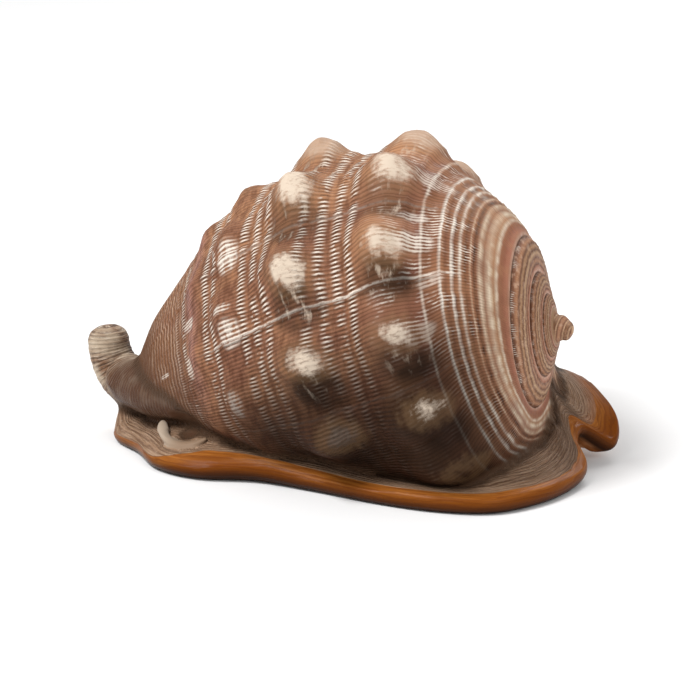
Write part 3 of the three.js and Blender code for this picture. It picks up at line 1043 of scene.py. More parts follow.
class Nodes:
    """Short calls for the nodes of one material."""

    def __init__(self, name: str) -> None:
        """Starts a material with its shader and nothing else."""
        self.material = bpy.data.materials.new(name)
        self.material.use_nodes = True
        self.tree = self.material.node_tree
        self.shader = self.tree.nodes["Principled BSDF"]

    def add(self, kind: str, inputs: dict[int | str, Value], **settings: object) -> bpy.types.Node:
        """Adds a node, sets its choices, and links or sets its inputs."""
        node = self.tree.nodes.new(kind)
        for name, value in settings.items():
            setattr(node, name, value)
        for key, value in inputs.items():
            if isinstance(value, Socket):
                self.tree.links.new(value, node.inputs[key])
            else:
                node.inputs[key].default_value = value
        return node

    def uv(self, layer: str) -> tuple[Socket, Socket]:
        """The two values of a pattern layer."""
        source = self.add("ShaderNodeUVMap", {}, uv_map=layer)
        parts = self.add("ShaderNodeSeparateXYZ", {0: source.outputs[0]})
        return parts.outputs[0], parts.outputs[1]

    def near_join(self) -> Socket:
        """How near the place is to where two finishes meet: 0.9 at most, and 0 from 2.6 mm on."""
        join = self.add("ShaderNodeAttribute", {}, attribute_name="join").outputs["Fac"]
        return self.times(self.step(join, 2.6, 0.3), 0.9)

    def object_place(self) -> Socket:
        """The place on the object, in metres."""
        return self.add("ShaderNodeTexCoord", {}).outputs["Object"]

    def math(self, operation: str, first: Value, second: Value = 0.0, clamp: bool = False) -> Socket:
        """One step of arithmetic."""
        node = self.add("ShaderNodeMath", {0: first, 1: second}, operation=operation, use_clamp=clamp)
        return node.outputs[0]

    def plus(self, first: Value, second: Value, clamp: bool = False) -> Socket:
        """Adds two values."""
        return self.math("ADD", first, second, clamp)

    def scaled(self, value: Value, factor: float, extra: float) -> Socket:
        """A value times a factor, plus an extra."""
        return self.plus(self.times(value, factor), extra)

    def rest(self, value: Value) -> Socket:
        """What a value leaves of 1."""
        return self.math("SUBTRACT", 1.0, value)

    def swing(self, cloud: Value, width: Value) -> Socket:
        """Moves a cloudy value round 0 and gives it a width."""
        return self.times(self.math("SUBTRACT", cloud, 0.5), width)

    def vector(self, x: Value, y: Value, z: Value = 0.0) -> Socket:
        """Three values as one vector."""
        return self.add("ShaderNodeCombineXYZ", {0: x, 1: y, 2: z}).outputs[0]

    def noise(self, place: Socket, scale: float, detail: float, rough: float = 0.55) -> Socket:
        """Cloudy values from 0 to 1."""
        inputs = {"Vector": place, "Scale": scale, "Detail": detail, "Roughness": rough}
        return self.add("ShaderNodeTexNoise", inputs).outputs[0]

    def random(self, place: Socket) -> Socket:
        """A value from 0 to 1 that jumps from place to place."""
        return self.add("ShaderNodeTexWhiteNoise", {"Vector": place}).outputs[0]

    def step(self, value: Value, low: Value, high: Value) -> Socket:
        """Rises smoothly from 0 at low to 1 at high."""
        node = self.add("ShaderNodeMapRange", {0: value, 1: low, 2: high}, interpolation_type="SMOOTHSTEP")
        return node.outputs[0]

    def bump_at(self, value: Value, centre: Value, half: float) -> Socket:
        """One at a centre, fading to 0 at half a width away."""
        away = self.math("ABSOLUTE", self.math("SUBTRACT", value, centre))
        return self.step(away, half, 0.0)

    def wave(self, phase: Value) -> Socket:
        """A wave from 0 to 1, once for each whole number."""
        turned = self.math("SINE", self.times(phase, 2 * math.pi))
        return self.scaled(turned, 0.5, 0.5)

    def mix(self, share: Value, *pair: Socket | str) -> Socket:
        """Mixes a pair of colours, each a socket or a screen colour such as 8a5a40."""
        under, over = (paint(colour) if isinstance(colour, str) else colour for colour in pair)
        return self.add("ShaderNodeMix", {0: share, 6: under, 7: over}, data_type="RGBA").outputs[2]

    def ramp(self, value: Socket, low: float, high: float, stops: Stops) -> Socket:
        """Reads a colour between the stops that lie round a value."""
        place = self.add("ShaderNodeMapRange", {0: value, 1: low, 2: high}).outputs[0]
        node = self.add("ShaderNodeValToRGB", {0: place})
        elements = node.color_ramp.elements
        while len(elements) < len(stops):
            elements.new(1.0)
        for element, (at, code) in zip(elements, stops):
            element.position = (at - low) / (high - low)
            element.color = paint(code)
        return node.outputs[0]

    def times(self, *values: Value) -> Socket:
        """Multiplies several values."""
        total = values[0]
        for value in values[1:]:
            total = self.math("MULTIPLY", total, value)
        return total

    def finish(
        self, colour: Socket, rough: Socket, height: Socket, distance: float, gloss: float
    ) -> bpy.types.Material:
        """Links colour, roughness and bump to the shader."""
        bump = self.add("ShaderNodeBump", {"Height": height, "Distance": distance, "Strength": 1.0})
        self.tree.links.new(colour, self.shader.inputs["Base Color"])
        self.tree.links.new(rough, self.shader.inputs["Roughness"])
        self.tree.links.new(bump.outputs[0], self.shader.inputs["Normal"])
        self.shader.inputs["Specular IOR Level"].default_value = gloss
        return self.material


@dataclass(frozen=True)
class Mark:
    """A white mark on the whorls: its middle and half widths in growth and spiral lines."""

    growth: float
    line: float
    growth_half: float
    line_half: float
    amount: float = 0.85


class WhorlFields:
    """What the whorls' finish is worked out from: the pattern layers, clouds and growth ribs."""

    def __init__(self, net: Nodes, rib_step: float, cords: Sequence[float]) -> None:
        """Reads the pattern layers and sets up the clouds, the ribs and the regions."""
        self.growth, self.line = growth, line = net.uv("pattern")
        self.knob, self.shade = net.uv("marks")

        def clouds(across: float, along: float, level: float, detail: float, rough: float = 0.55) -> Socket:
            """Clouds stretched along the growth lines and the spiral lines."""
            place = net.vector(net.times(growth, across), net.times(line, along), level)
            return net.noise(place, 1.0, detail, rough)

        self.cloud = clouds(0.05, 0.8, 0.0, 4)
        self.fleck = clouds(0.9, 8.0, 0.0, 4, 0.65)
        self.streak = clouds(0.14, 6.5, 3.0, 4, 0.6)
        self.patch = clouds(0.11, 2.4, 7.0, 3)
        self.wander = clouds(0.09, 1.2, 9.0, 2)
        phase = net.plus(net.times(growth, 1 / rib_step), net.times(self.wander, 1.2))
        self.phase = net.plus(phase, net.times(self.fleck, 0.45))
        self.rib = net.wave(self.phase)
        self.threads = net.wave(net.times(net.plus(line, net.times(self.wander, 0.06)), 7.0))
        self.last_whorl = net.step(growth, -232.0, -226.0)
        self.woven = net.times(net.step(line, 2.3, 2.7), net.step(line, 7.4, 6.5), self.last_whorl)
        self.low = net.times(net.step(growth, -62.0, -108.0), net.step(growth, -330.0, -180.0))
        self.base = net.step(line, 6.3, 7.4)
        self.cord: Value = 0.0
        for cord in cords:
            self.cord = net.math("MAXIMUM", self.cord, net.bump_at(line, cord, 0.13))


@dataclass(frozen=True)
class WhorlFinish:
    """Brown shell with pale dashes on its cords, cream knobs and fine growth lines."""

    brown: str = "845a46"
    tan: str = "b0805e"
    dark_brown_and_shade: str = "190b03"
    groove: str = "37200f"
    pale: str = "e4d8cb"
    cream: str = "cfbeab"
    umber_stain_and_shade: str = "1c0f07"
    ochre: str = "8e7051"
    pink: str = "b07f78"
    base_tones: tuple[str, ...] = ("7a5238", "58351f", "cfb39a", "c9ab92", "4a301f", "5c3d28")
    spire_tones: tuple[str, ...] = ("dcbba2", "7e5742")
    gap_tones: tuple[str, ...] = ("532f1e", "a5714f")
    worn_tip: str = "ab8b73"
    rib_step: float = 1.43
    shoulder: Stops = (
        *((0.0, "2e1a12"), (0.035, "d2ab96"), (0.1, "a8725c"), (0.2, "8e5c48"), (0.31, "94654c")),
        *((0.38, "d6c3ad"), (0.45, "a37d5e"), (0.55, "d8c6ae"), (0.66, "94705a"), (0.76, "cfbaa2")),
        *((0.82, "7d523b"), (0.86, "3f2518"), (0.9, "8a5d44"), (0.93, "c4a68c"), (0.96, "81543c")),
        *((1.01, "56341f"), (1.06, "94684c"), (1.1, "e6dacb"), (1.135, "8f6346"), (1.18, "633d29")),
        *((1.225, "ece3d6"), (1.25, "8c5f44"), (1.3, "6d4530"), (1.35, "a07457"), (1.375, "eee6da")),
        *((1.41, "8e6148"), (1.59, "81553e"), (1.62, "d8c9ba"), (1.65, "7c5040"), (2.0, "8a5a44")),
    )
    spire: Stops = (
        *((0.0, "5a3b2b"), (0.05, "cfa48e"), (0.15, "a9745c"), (0.21, "6b4533"), (0.29, "b08467")),
        *((0.37, "745040"), (0.46, "c09c7c"), (0.54, "684633"), (0.63, "b28a6a"), (0.71, "705040")),
        *((0.81, "aa7c5e"), (0.91, "6e4a38"), (1.0, "5a3b2b")),
    )
    marks: tuple[Mark, ...] = (
        Mark(-33, 5.3, 6.5, 0.28, 1.0),
        Mark(-53, 5.36, 2.0, 0.24, 0.8),
        Mark(-62, 5.25, 5.5, 0.27, 0.95),
        Mark(-87, 5.45, 6.0, 0.22, 0.55),
        Mark(-52, 1.72, 4.2, 0.3, 0.9),
        Mark(-40, 1.75, 2.4, 0.22, 0.6),
        Mark(-66, 1.5, 3.0, 0.2, 0.5),
        Mark(-84, 1.75, 4.0, 0.26, 0.5),
        Mark(-20, 1.6, 5.0, 0.3, 0.6),
        Mark(-47, 6.62, 3.0, 0.2, 0.75),
        Mark(-66, 6.7, 5.5, 0.14, 0.7),
        Mark(-62, 7.9, 1.6, 0.22, 0.6),
        Mark(-75, 8.4, 3.0, 0.12, 0.5),
    )
    pauses: tuple[tuple[float, float], ...] = ((-64.0, 0.9), (-34.5, 0.2), (-100.0, 0.12))

    def build(self) -> bpy.types.Material:
        """Makes the material from the growth lines and the spiral lines."""
        net = Nodes("whorls")
        at = WhorlFields(net, self.rib_step, Whorls.cords)
        colour = self.spire_colour(net, at, self.shoulder_colour(net, at, self.body_colour(net, at)))
        colour, dash = self.dashes(net, at, self.slits(net, at, colour))
        colour, worn = self.knobs(net, at, self.underside(net, at, self.growth_pauses(net, at, colour)))
        colour = net.mix(net.near_join(), colour, SEAM)
        rough = net.scaled(net.noise(net.object_place(), 900.0, 3), 0.25, 0.34)
        height = net.plus(net.times(at.rib, net.scaled(at.woven, 0.8, 0.15)), net.times(dash, 0.4))
        height = net.plus(height, net.times(at.threads, net.scaled(at.base, 0.5, 0.1)))
        height = net.plus(height, net.times(at.fleck, 0.3))
        height = net.times(height, net.rest(net.times(worn, 0.8)))
        return net.finish(colour, rough, height, 0.0003, 0.06)

    def body_colour(self, net: Nodes, at: WhorlFields) -> Socket:
        """Orange-tan at the top as painted light, browner below, with threads and a dark neck at the base."""
        tone = net.times(net.step(at.cloud, 0.35, 0.68), 0.7)
        # Painted light: the top of the whorls is mixed towards tan, as if lit from above.
        tone = net.plus(tone, net.times(net.step(at.growth, -45.0, 10.0), 0.5), clamp=True)
        base = net.mix(tone, self.brown, self.tan)
        mottle, dark_thread, pale_thread, fleck, neck_brown, shade = self.base_tones
        base = net.mix(net.times(net.step(at.cloud, 0.4, 0.6), at.base, 0.5), base, mottle)
        base = net.mix(net.times(net.step(at.threads, 0.5, 0.1), at.base, 0.7), base, dark_thread)
        light = net.times(net.step(at.threads, 0.7, 1.0), at.base, net.step(at.patch, 0.4, 0.6), 0.75)
        base = net.mix(light, base, pale_thread)
        base = net.mix(net.times(net.step(at.fleck, 0.55, 0.7), at.base, 0.5), base, fleck)
        blush = net.times(net.bump_at(at.line, 6.5, 0.35), net.step(at.growth, -95.0, -60.0), 0.5)
        base = net.mix(blush, base, self.pink)
        neck = net.times(net.step(at.growth, -30.0, -85.0), at.base, 0.5)
        neck = net.math("MINIMUM", net.plus(net.times(net.step(at.line, 7.6, 9.3), 0.75), neck), 0.9)
        base = net.mix(net.times(neck, net.step(at.growth, 40.0, -40.0)), base, neck_brown)
        return net.mix(net.times(at.base, 0.3), base, shade)

    def shoulder_colour(self, net: Nodes, at: WhorlFields, colour: Socket) -> Socket:
        """Adds the bands that run beside the suture."""
        banded = net.ramp(net.plus(at.line, net.swing(at.patch, 0.05)), 0.0, 2.0, self.shoulder)
        broken = net.scaled(net.step(at.patch, 0.38, 0.62), 0.6, 0.4)
        return net.mix(net.times(net.step(at.line, 2.05, 1.75), broken), colour, banded)

    def spire_colour(self, net: Nodes, at: WhorlFields, colour: Socket) -> Socket:
        """Adds the bands of the spire turns, worn and flecked."""
        inside = net.times(net.step(at.line, 0.0, 0.25), net.step(at.line, 1.0, 0.75), 0.12)
        wound = net.ramp(net.plus(at.line, net.swing(at.patch, inside)), 0.0, 1.0, self.spire)
        light, dark = self.spire_tones
        wound = net.mix(net.times(net.step(at.streak, 0.5, 0.65), 0.3), wound, light)
        wound = net.mix(net.times(net.step(at.fleck, 0.5, 0.35), 0.5), wound, dark)
        return net.mix(net.rest(at.last_whorl), colour, wound)

    def slits(self, net: Nodes, at: WhorlFields, colour: Socket) -> Socket:
        """Adds the dark lines between the growth ribs, deepest beside the cords."""
        depth = net.times(at.woven, net.scaled(at.cord, 0.65, 0.35), 0.85)
        depth = net.plus(depth, net.times(net.step(at.line, 0.5, 1.0), net.step(at.line, 2.7, 2.4), 0.32))
        depth = net.plus(net.times(depth, net.scaled(at.patch, 0.9, 0.35)), 0.1, clamp=True)
        colour = net.mix(net.times(net.step(at.rib, 0.48, 0.1), depth, at.last_whorl), colour, self.groove)
        gap = net.times(net.rest(at.cord), at.woven)
        dark, light = self.gap_tones
        colour = net.mix(net.times(gap, net.step(at.streak, 0.42, 0.62), 0.55), colour, dark)
        return net.mix(net.times(gap, net.step(at.streak, 0.45, 0.3), 0.35), colour, light)

    def dashes(self, net: Nodes, at: WhorlFields, colour: Socket) -> tuple[Socket, Socket]:
        """Adds pale dashes where ribs cross cords, thin ones across the shoulder, and the marks."""
        number = net.math("FLOOR", net.plus(at.phase, 0.25))
        chance = net.random(net.vector(number, net.math("FLOOR", net.times(at.line, 3.2))))
        present = net.plus(net.times(chance, 0.45), net.times(net.step(at.patch, 0.32, 0.62), 0.75))
        dash = net.times(net.step(at.rib, 0.45, 0.8), at.cord, net.step(present, 0.32, 0.68), at.woven)
        dash = net.times(dash, net.rest(net.times(at.low, 0.75)))
        colour = net.mix(net.times(dash, 0.95), colour, self.pale)
        thin = net.times(net.step(at.line, 0.7, 1.0), net.step(at.line, 2.5, 2.2))
        thin = net.times(thin, net.step(at.rib, 0.5, 0.85))
        thin = net.times(thin, net.step(at.patch, 0.46, 0.62), net.step(at.fleck, 0.35, 0.6), 0.85)
        colour = net.mix(net.times(thin, net.rest(net.times(at.low, 0.7))), colour, self.pale)
        ragged_growth = net.plus(at.growth, net.times(at.fleck, 1.2))
        ragged_line = net.plus(at.line, net.times(at.streak, 0.08))
        torn = net.step(net.plus(net.times(at.streak, 0.75), net.times(at.rib, 0.25)), 0.32, 0.62)
        for mark in self.marks:
            shape = net.times(
                net.bump_at(ragged_growth, mark.growth + 0.6, mark.growth_half * 1.4),
                net.bump_at(ragged_line, mark.line + 0.04, mark.line_half * 1.4),
            )
            colour = net.mix(net.times(net.step(shape, 0.1, 0.5), torn, mark.amount), colour, self.pale)
        return colour, dash

    def growth_pauses(self, net: Nodes, at: WhorlFields, colour: Socket) -> Socket:
        """Adds fine pale lines where growth paused, each with a painted shadow line behind it."""
        bowed = net.plus(at.growth, net.swing(at.wander, 2.5))
        broken = net.step(net.plus(at.fleck, net.times(at.patch, 0.5)), 0.55, 0.8)
        ends = net.step(at.line, 6.3, 5.4)
        for pause, amount in self.pauses:
            thin = net.times(net.bump_at(bowed, pause, 0.7), net.step(at.line, 1.0, 1.3), ends)
            colour = net.mix(net.times(thin, broken, amount), colour, self.pale)
            # Painted shadow: a dark line just behind each pale pause line, in the groove colour.
            after = net.times(net.bump_at(bowed, pause - 1.3, 0.8), net.step(at.line, 1.3, 1.6), ends, amount)
            colour = net.mix(net.times(after, 0.6), colour, self.groove)
        return colour

    def underside(self, net: Nodes, at: WhorlFields, colour: Socket) -> Socket:
        """Turns the ground-facing side a clouded, nearly black brown: part dark colour, part painted shade.
        """
        reach = net.times(net.scaled(net.step(at.line, 6.8, 4.8), 0.6, 0.4), net.step(at.line, 0.5, 1.7))
        under = net.times(at.low, net.scaled(at.cloud, 0.5, 0.65), reach)
        # Dark colour and painted shade together over the low side.
        return net.mix(net.math("MINIMUM", under, 0.93), colour, self.dark_brown_and_shade)

    def knobs(self, net: Nodes, at: WhorlFields, colour: Socket) -> tuple[Socket, Socket]:
        """Makes the knobs cream, worn and streaked along the turn, with stain and painted shade below."""
        torn = net.plus(at.knob, net.swing(at.streak, 0.5))
        torn = net.plus(torn, net.swing(at.fleck, 0.35))
        # Painted shade, partly a real dark stain: dark brown on the lower side of each knob.
        dark = net.times(net.step(at.shade, 0.3, 0.72), net.step(torn, 0.95, 0.6))
        dark = net.times(dark, net.step(at.growth, 5.0, -62.0))
        dark = net.times(dark, net.scaled(net.step(at.cloud, 0.4, 0.6), 0.5, 0.5))
        colour = net.mix(net.times(dark, 0.85), colour, self.umber_stain_and_shade)
        halo = net.times(net.step(torn, 0.3, 0.6), net.step(torn, 0.85, 0.6), 0.2)
        colour = net.mix(halo, colour, self.ochre)
        run = net.times(net.step(at.streak, 0.52, 0.7), net.step(at.shade, 0.45, 0.8), 0.6)
        run = net.times(run, net.step(at.growth, -110.0, -70.0))
        worn = net.math("MAXIMUM", net.step(torn, 0.6, 0.92), run)
        worn = net.times(worn, net.rest(net.times(net.step(at.growth, -6.0, 8.0), 0.5)))
        worn = net.times(worn, net.step(at.growth, -124.0, -116.0))
        unworn = net.times(net.step(at.line, 2.8, 3.3), net.step(at.growth, -90.0, -98.0))
        worn = net.times(worn, net.rest(net.times(unworn, 0.9)))
        worn = net.times(worn, net.scaled(net.step(at.fleck, 0.35, 0.5), 0.4, 0.58))
        colour = net.mix(worn, colour, self.cream)
        tips = net.times(net.step(torn, 0.4, 0.8), net.step(at.growth, -12.0, 5.0), 0.6)
        return net.mix(tips, colour, self.worn_tip), worn


@dataclass(frozen=True)
class ShieldFinish:
    """Orange roll with painted highlight and shade, brown-mauve sheet with lines along the rim, and a pale
    toothed edge.
    """

    orange: str = "7a3f08"
    roll_highlight: str = "9f6228"
    roll_streak: str = "7a4013"
    roll_line: str = "5e2c0e"
    roll_shade: str = "200d04"
    mauve: str = "ad8f77"
    dusk: str = "86664c"
    line_brown: str = "523625"
    grain_pale: str = "cbb5a2"
    notch_brown: str = "3a2418"
    tongue_orange: str = "9c5a2c"
    salmon: str = "c98a5e"
    tooth: str = "e9dcc6"
    between: str = "4a1d10"

    def build(self) -> bpy.types.Material:
        """Makes the material from the distance to the rim and the place round it."""
        net = Nodes("shield")
        station, across = net.uv("pattern")
        number, border = net.uv("marks")
        along = net.noise(net.vector(net.times(station, 0.9), net.times(across, 0.25)), 1.0, 3)
        fine = net.noise(net.vector(net.times(station, 1.3), net.times(across, 1.6)), 1.0, 5, 0.65)
        grain = net.noise(net.object_place(), 1100.0, 4, 0.7)
        wander = net.plus(net.times(along, 3.0), net.times(fine, 1.2))
        line = net.wave(net.plus(net.times(across, 0.7), wander))

        # Painted highlight: lighter amber along the top of the roll, next to the sheet.
        roll = net.mix(net.step(border, -5.0, -0.6), self.orange, self.roll_highlight)
        roll = net.mix(net.times(net.step(fine, 0.62, 0.4), 0.7), roll, self.roll_streak)
        roll = net.mix(net.times(net.step(line, 0.4, 0.1), 0.35), roll, self.roll_line)
        # Painted shade: the roll turns nearly black towards its bottom.
        roll = net.mix(net.times(net.step(across, 2.2, -2.6), 0.92), roll, self.roll_shade)

        sheet = net.mix(net.step(fine, 0.3, 0.7), self.mauve, self.dusk)
        lined = net.times(net.step(line, 0.45, 0.1), net.step(fine, 0.25, 0.55), 0.55)
        sheet = net.mix(lined, sheet, self.line_brown)
        sheet = net.mix(net.times(net.step(grain, 0.55, 0.72), 0.4), sheet, self.grain_pale)
        notch = net.times(net.step(station, 9.0, 10.5), net.step(station, 14.5, 13.0))
        sheet = net.mix(net.times(notch, 0.35), sheet, self.notch_brown)
        tongue = net.times(net.step(station, 13.2, 14.2), net.step(station, 18.0, 16.5))
        sheet = net.mix(net.times(tongue, net.step(border, 6.0, 0.0), 0.5), sheet, self.tongue_orange)
        on_top = net.step(net.plus(border, net.swing(along, 1.6)), -0.1, 0.35)
        colour = net.mix(on_top, roll, sheet)

        below = net.mix(net.step(along, 0.35, 0.65), self.salmon, self.orange)
        colour = net.mix(net.step(number, 6.2, 5.0), colour, below)
        crest = net.wave(net.plus(net.times(station, Aperture.teeth / len(Aperture().rim)), 0.25))
        edge = net.mix(net.step(crest, 0.3, 0.6), self.between, self.tooth)
        colour = net.mix(net.step(number, 3.4, 2.2), colour, edge)
        colour = net.mix(net.times(net.near_join(), on_top), colour, SEAM)

        rough = net.plus(net.times(on_top, 0.16), net.scaled(fine, 0.2, 0.2))
        height = net.times(line, net.scaled(on_top, 0.9, 0.12))
        height = net.plus(height, net.times(grain, net.scaled(on_top, 0.9, 0.1)))
        return net.finish(colour, rough, height, 0.0003, 0.08)


@dataclass(frozen=True)
class CanalFinish:
    """Grey-tan with fine dark rings of growth, browner and darker towards the body."""

    grey: str = "b5a28c"
    brown: str = "7a5a44"
    ring: str = "3f2c20"
    pale: str = "ddd0be"
    dark: str = "4a2e1f"
    rim: str = "8a725d"
    rim_pale: str = "ac9b89"

    def build(self) -> bpy.types.Material:
        """Makes the material from the distance along the canal and the piece's tone."""
        net = Nodes("canal")
        around, along = net.uv("pattern")
        tone, _ = net.uv("marks")
        cloud = net.noise(net.object_place(), 110.0, 3)
        fine = net.noise(net.vector(net.times(around, 1.2), net.times(along, 1.5), tone), 1.0, 5, 0.65)
        ring = net.wave(net.plus(net.times(along, 0.85), net.times(fine, 1.4)))
        colour = net.mix(net.step(cloud, 0.35, 0.65), self.grey, self.brown)
        colour = net.mix(net.times(net.step(fine, 0.5, 0.72), 0.8), colour, self.pale)
        ringed = net.times(net.step(ring, 0.35, 0.05), net.step(cloud, 0.3, 0.6), 0.8)
        colour = net.mix(ringed, colour, self.ring)
        root = net.math("MAXIMUM", net.step(along, 33.0, 18.0), net.step(tone, 0.2, 0.8))
        far = net.math("MAXIMUM", net.step(along, 0.0, 9.0), net.step(tone, 1.4, 1.8))
        root = net.times(root, net.math("MAXIMUM", net.step(tone, 0.8, 0.2), far), 0.8)
        colour = net.mix(net.times(root, net.step(tone, -0.6, -0.2)), colour, self.dark)
        rim = net.mix(net.step(along, 20.0, 8.0), self.rim, self.rim_pale)
        colour = net.mix(net.step(tone, -0.2, -0.8), colour, rim)
        colour = net.mix(net.times(net.near_join(), net.step(tone, -0.8, -0.2)), colour, SEAM)
        rough = net.scaled(fine, 0.25, 0.35)
        height = net.times(net.plus(ring, fine), net.step(tone, -0.9, -0.1))
        return net.finish(colour, rough, height, 0.00022, 0.1)


@dataclass(frozen=True)
class InnerFinish:
    """Smooth cream and orange-brown of the inside."""

    cream: str = "dcc3a2"
    brown: str = "a4683a"

    def build(self) -> bpy.types.Material:
        """Makes the material from the place on the object."""
        net = Nodes("inner")
        cloud = net.noise(net.object_place(), 60.0, 3)
        fine = net.noise(net.object_place(), 500.0, 3)
        colour = net.mix(net.step(cloud, 0.35, 0.65), self.cream, self.brown)
        return net.finish(colour, net.scaled(fine, 0.2, 0.25), fine, 0.0001, 0.4)


@dataclass
class HelmetShell:
    """The whole shell: its parts joined, cut, and smoothed where they meet."""

    whorls: Whorls = field(default_factory=Whorls)
    aperture: Aperture = field(default_factory=Aperture)
    canal: Canal = field(default_factory=Canal)
    umbilicus: Umbilicus = field(default_factory=Umbilicus)
    nub: Nub = field(default_factory=Nub)
    crease_angle: float = math.radians(50)
    soft_rings: int = 7
    soft_repeats: int = 30
    join_reach: float = 9.0
    inside_box: float = 0.00003

    def skins(self) -> Skins:
        """Makes the material of each finish."""
        return {
            Skin.WHORLS: WhorlFinish().build(),
            Skin.SHIELD: ShieldFinish().build(),
            Skin.CANAL: CanalFinish().build(),
            Skin.INNER: InnerFinish().build(),
        }

    def build(self) -> bpy.types.Object:
        """Makes the shell as one closed mesh."""
        skins = self.skins()
        shell = self.whorls.build(skins)
        hollow = self.whorls.build_hollow(skins)
        slot = self.aperture.build_slot(skins)
        canal = self.canal.build(skins)
        for solid in (shell, canal):
            combine(solid, hollow, "DIFFERENCE", keep=True)
            combine(solid, slot, "DIFFERENCE", keep=True)
        for cutter in (hollow, slot):
            bpy.data.objects.remove(cutter, do_unlink=True)
        combine(shell, self.aperture.build(skins), "UNION")
        combine(shell, canal, "UNION")
        combine(shell, self.canal.build_fold(skins), "UNION")
        combine(shell, self.nub.build(self.whorls.axis, skins), "UNION")
        combine(shell, self.umbilicus.build_cut(skins), "DIFFERENCE")
        combine(shell, self.umbilicus.build_rim(skins), "UNION")
        combine(shell, self.canal.build_groove(skins), "DIFFERENCE")
        shell.name = "shell_surface"
        shell.data.name = "shell_surface"
        meeting = self.soften_joins(shell)
        self.fit_box(shell)
        self.mark_joins(shell, meeting)
        pick(shell)
        bpy.ops.object.shade_smooth_by_angle(angle=self.crease_angle)
        return shell

    def mark_joins(self, shell: bpy.types.Object, meeting: Array) -> None:
        """Writes each place's distance to the nearest join, in millimetres, as an attribute."""
        points = read(shell.data.vertices, "co", float, 3)
        joined = points[meeting]
        tree = KDTree(len(joined))
        for number, point in enumerate(joined):
            tree.insert(point, number)
        tree.balance()
        away = np.array([tree.find(point)[2] for point in points]) / MILLIMETRE
        layer = shell.data.attributes.new("join", "FLOAT", "POINT")
        layer.data.foreach_set("value", np.minimum(away, self.join_reach))

    def soften_joins(self, shell: bpy.types.Object) -> Array:
        """Smooths the shell where finishes meet, and returns the points there that darken."""
        mesh = shell.data
        corners = read(mesh.loops, "vertex_index")
        owner = np.repeat(read(mesh.polygons, "material_index"), read(mesh.polygons, "loop_total"))
        low = np.full(len(mesh.vertices), len(Skin))
        high = np.full(len(mesh.vertices), -1)
        np.minimum.at(low, corners, owner)
        np.maximum.at(high, corners, owner)
        inner = list(Skin).index(Skin.INNER)
        meeting = (low != high) & (high != inner)
        pick(shell)
        bpy.ops.object.mode_set(mode="EDIT")
        bpy.ops.mesh.select_mode(type="VERT")
        bpy.ops.mesh.select_all(action="DESELECT")
        bpy.ops.object.mode_set(mode="OBJECT")
        mesh.vertices.foreach_set("select", meeting)
        bpy.ops.object.mode_set(mode="EDIT")
        for _ in range(self.soft_rings):
            bpy.ops.mesh.select_more()
        bpy.ops.mesh.vertices_smooth(factor=0.5, repeat=self.soft_repeats)
        bpy.ops.object.mode_set(mode="OBJECT")
        marks = read(mesh.uv_layers["marks"].data, "uv", float, 2)
        tone = np.zeros(len(mesh.vertices))
        np.minimum.at(tone, corners, np.where(owner == list(Skin).index(Skin.CANAL), marks[:, 0], 0))
        return meeting & (tone > PALE_TONE / 2)

    def fit_box(self, shell: bpy.types.Object) -> None:
        """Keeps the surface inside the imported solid's box."""
        low, high = (np.array(corner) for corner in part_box("shell"))
        points = read(shell.data.vertices, "co", float, 3)
        floor_free = np.array([1, 1, 0]) * self.inside_box
        write_points(shell.data, np.clip(points, low + floor_free, high - self.inside_box))


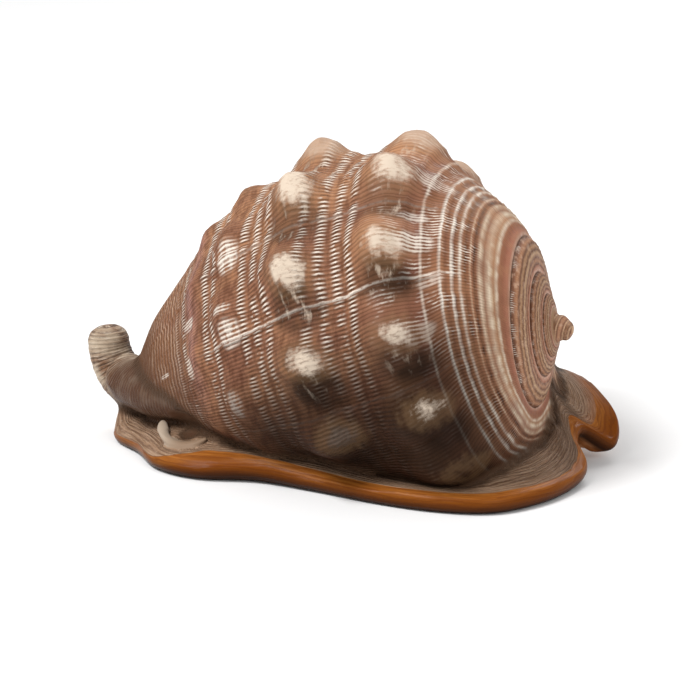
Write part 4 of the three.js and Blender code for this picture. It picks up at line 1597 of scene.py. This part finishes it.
@dataclass
class Studio:
    """Plain floor, soft lights and the camera.

    The camera's lengths are millimetres, and those of the floor and the lights are metres.
    """

    floor_size: float = 4.0
    aim: tuple[float, float, float] = (4.2387, -7.3477, 30.9)
    turn_height: float = 40.0
    light_aim: tuple[float, float, float] = (0.0, 0.0, 0.04)
    shift: float = 0.006
    azimuth: float = math.radians(20)
    elevation: float = math.radians(15)
    distance: float = 850.0
    lens: float = 153.0

    def build(self) -> None:
        """Makes the floor, the lights, the world and the camera."""
        self.add_floor()
        self.add_world()
        self.add_light("key", (-0.5, -0.55, 1.1), 0.45, 15.0)
        self.add_light("side", (0.9, -0.6, 0.7), 0.5, 3.0)
        self.add_light("back", (0.0, 0.9, 0.9), 0.6, 5.0)
        self.add_camera()
        bpy.context.scene.view_settings.view_transform = "Standard"

    def add_floor(self) -> None:
        """Lays the plain pale floor."""
        deselect_all()
        bpy.ops.mesh.primitive_plane_add(size=self.floor_size, location=(0, 0, 0))
        floor = bpy.context.object
        floor.name = "floor"
        material = bpy.data.materials.new("floor")
        material.use_nodes = True
        shader = material.node_tree.nodes["Principled BSDF"]
        shader.inputs["Base Color"].default_value = (0.88, 0.88, 0.88, 1)
        shader.inputs["Roughness"].default_value = 0.9
        floor.data.materials.append(material)

    def add_world(self) -> None:
        """Sets the soft light from all round."""
        world = bpy.data.worlds.new("studio")
        world.use_nodes = True
        sky = world.node_tree.nodes["Background"]
        sky.inputs["Color"].default_value = (1, 1, 1, 1)
        sky.inputs["Strength"].default_value = 0.5
        bpy.context.scene.world = world

    def add_light(self, name: str, place: tuple[float, float, float], size: float, power: float) -> None:
        """Hangs a soft light that looks at the shell."""
        data = bpy.data.lights.new(name, "AREA")
        data.size = size
        data.energy = power
        lamp = bpy.data.objects.new(name, data)
        lamp.location = place
        lamp.rotation_euler = (Vector(self.light_aim) - Vector(place)).to_track_quat("-Z", "Y").to_euler()
        bpy.context.scene.collection.objects.link(lamp)

    def add_camera(self) -> None:
        """Sets up the camera at the photograph's viewing angle."""
        back = Vector(
            (
                math.sin(self.azimuth) * math.cos(self.elevation),
                -math.cos(self.azimuth) * math.cos(self.elevation),
                math.sin(self.elevation),
            )
        )
        aim = Vector(self.aim) * MILLIMETRE
        turned_about = Vector((*self.aim[:2], self.turn_height)) * MILLIMETRE
        data = bpy.data.cameras.new("camera")
        data.lens = self.lens
        data.sensor_width = 36
        data.clip_start = 0.01
        data.shift_x = self.shift
        camera = bpy.data.objects.new("camera", data)
        camera.location = turned_about + back * self.distance * MILLIMETRE
        camera.rotation_euler = (aim - camera.location).to_track_quat("-Z", "Y").to_euler()
        bpy.context.scene.collection.objects.link(camera)
        bpy.context.scene.camera = camera


def main() -> None:
    """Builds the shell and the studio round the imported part."""
    logging.basicConfig(level=logging.INFO, format="%(name)s: %(message)s")
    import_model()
    shell = HelmetShell().build()
    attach(shell, "root")
    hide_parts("shell")
    triangles = sum(len(face.vertices) - 2 for face in shell.data.polygons)
    LOG.info("%s: %d triangles", shell.name, triangles)
    Studio().build()
    bpy.context.view_layer.update()


if __name__ == "__main__":
    main()
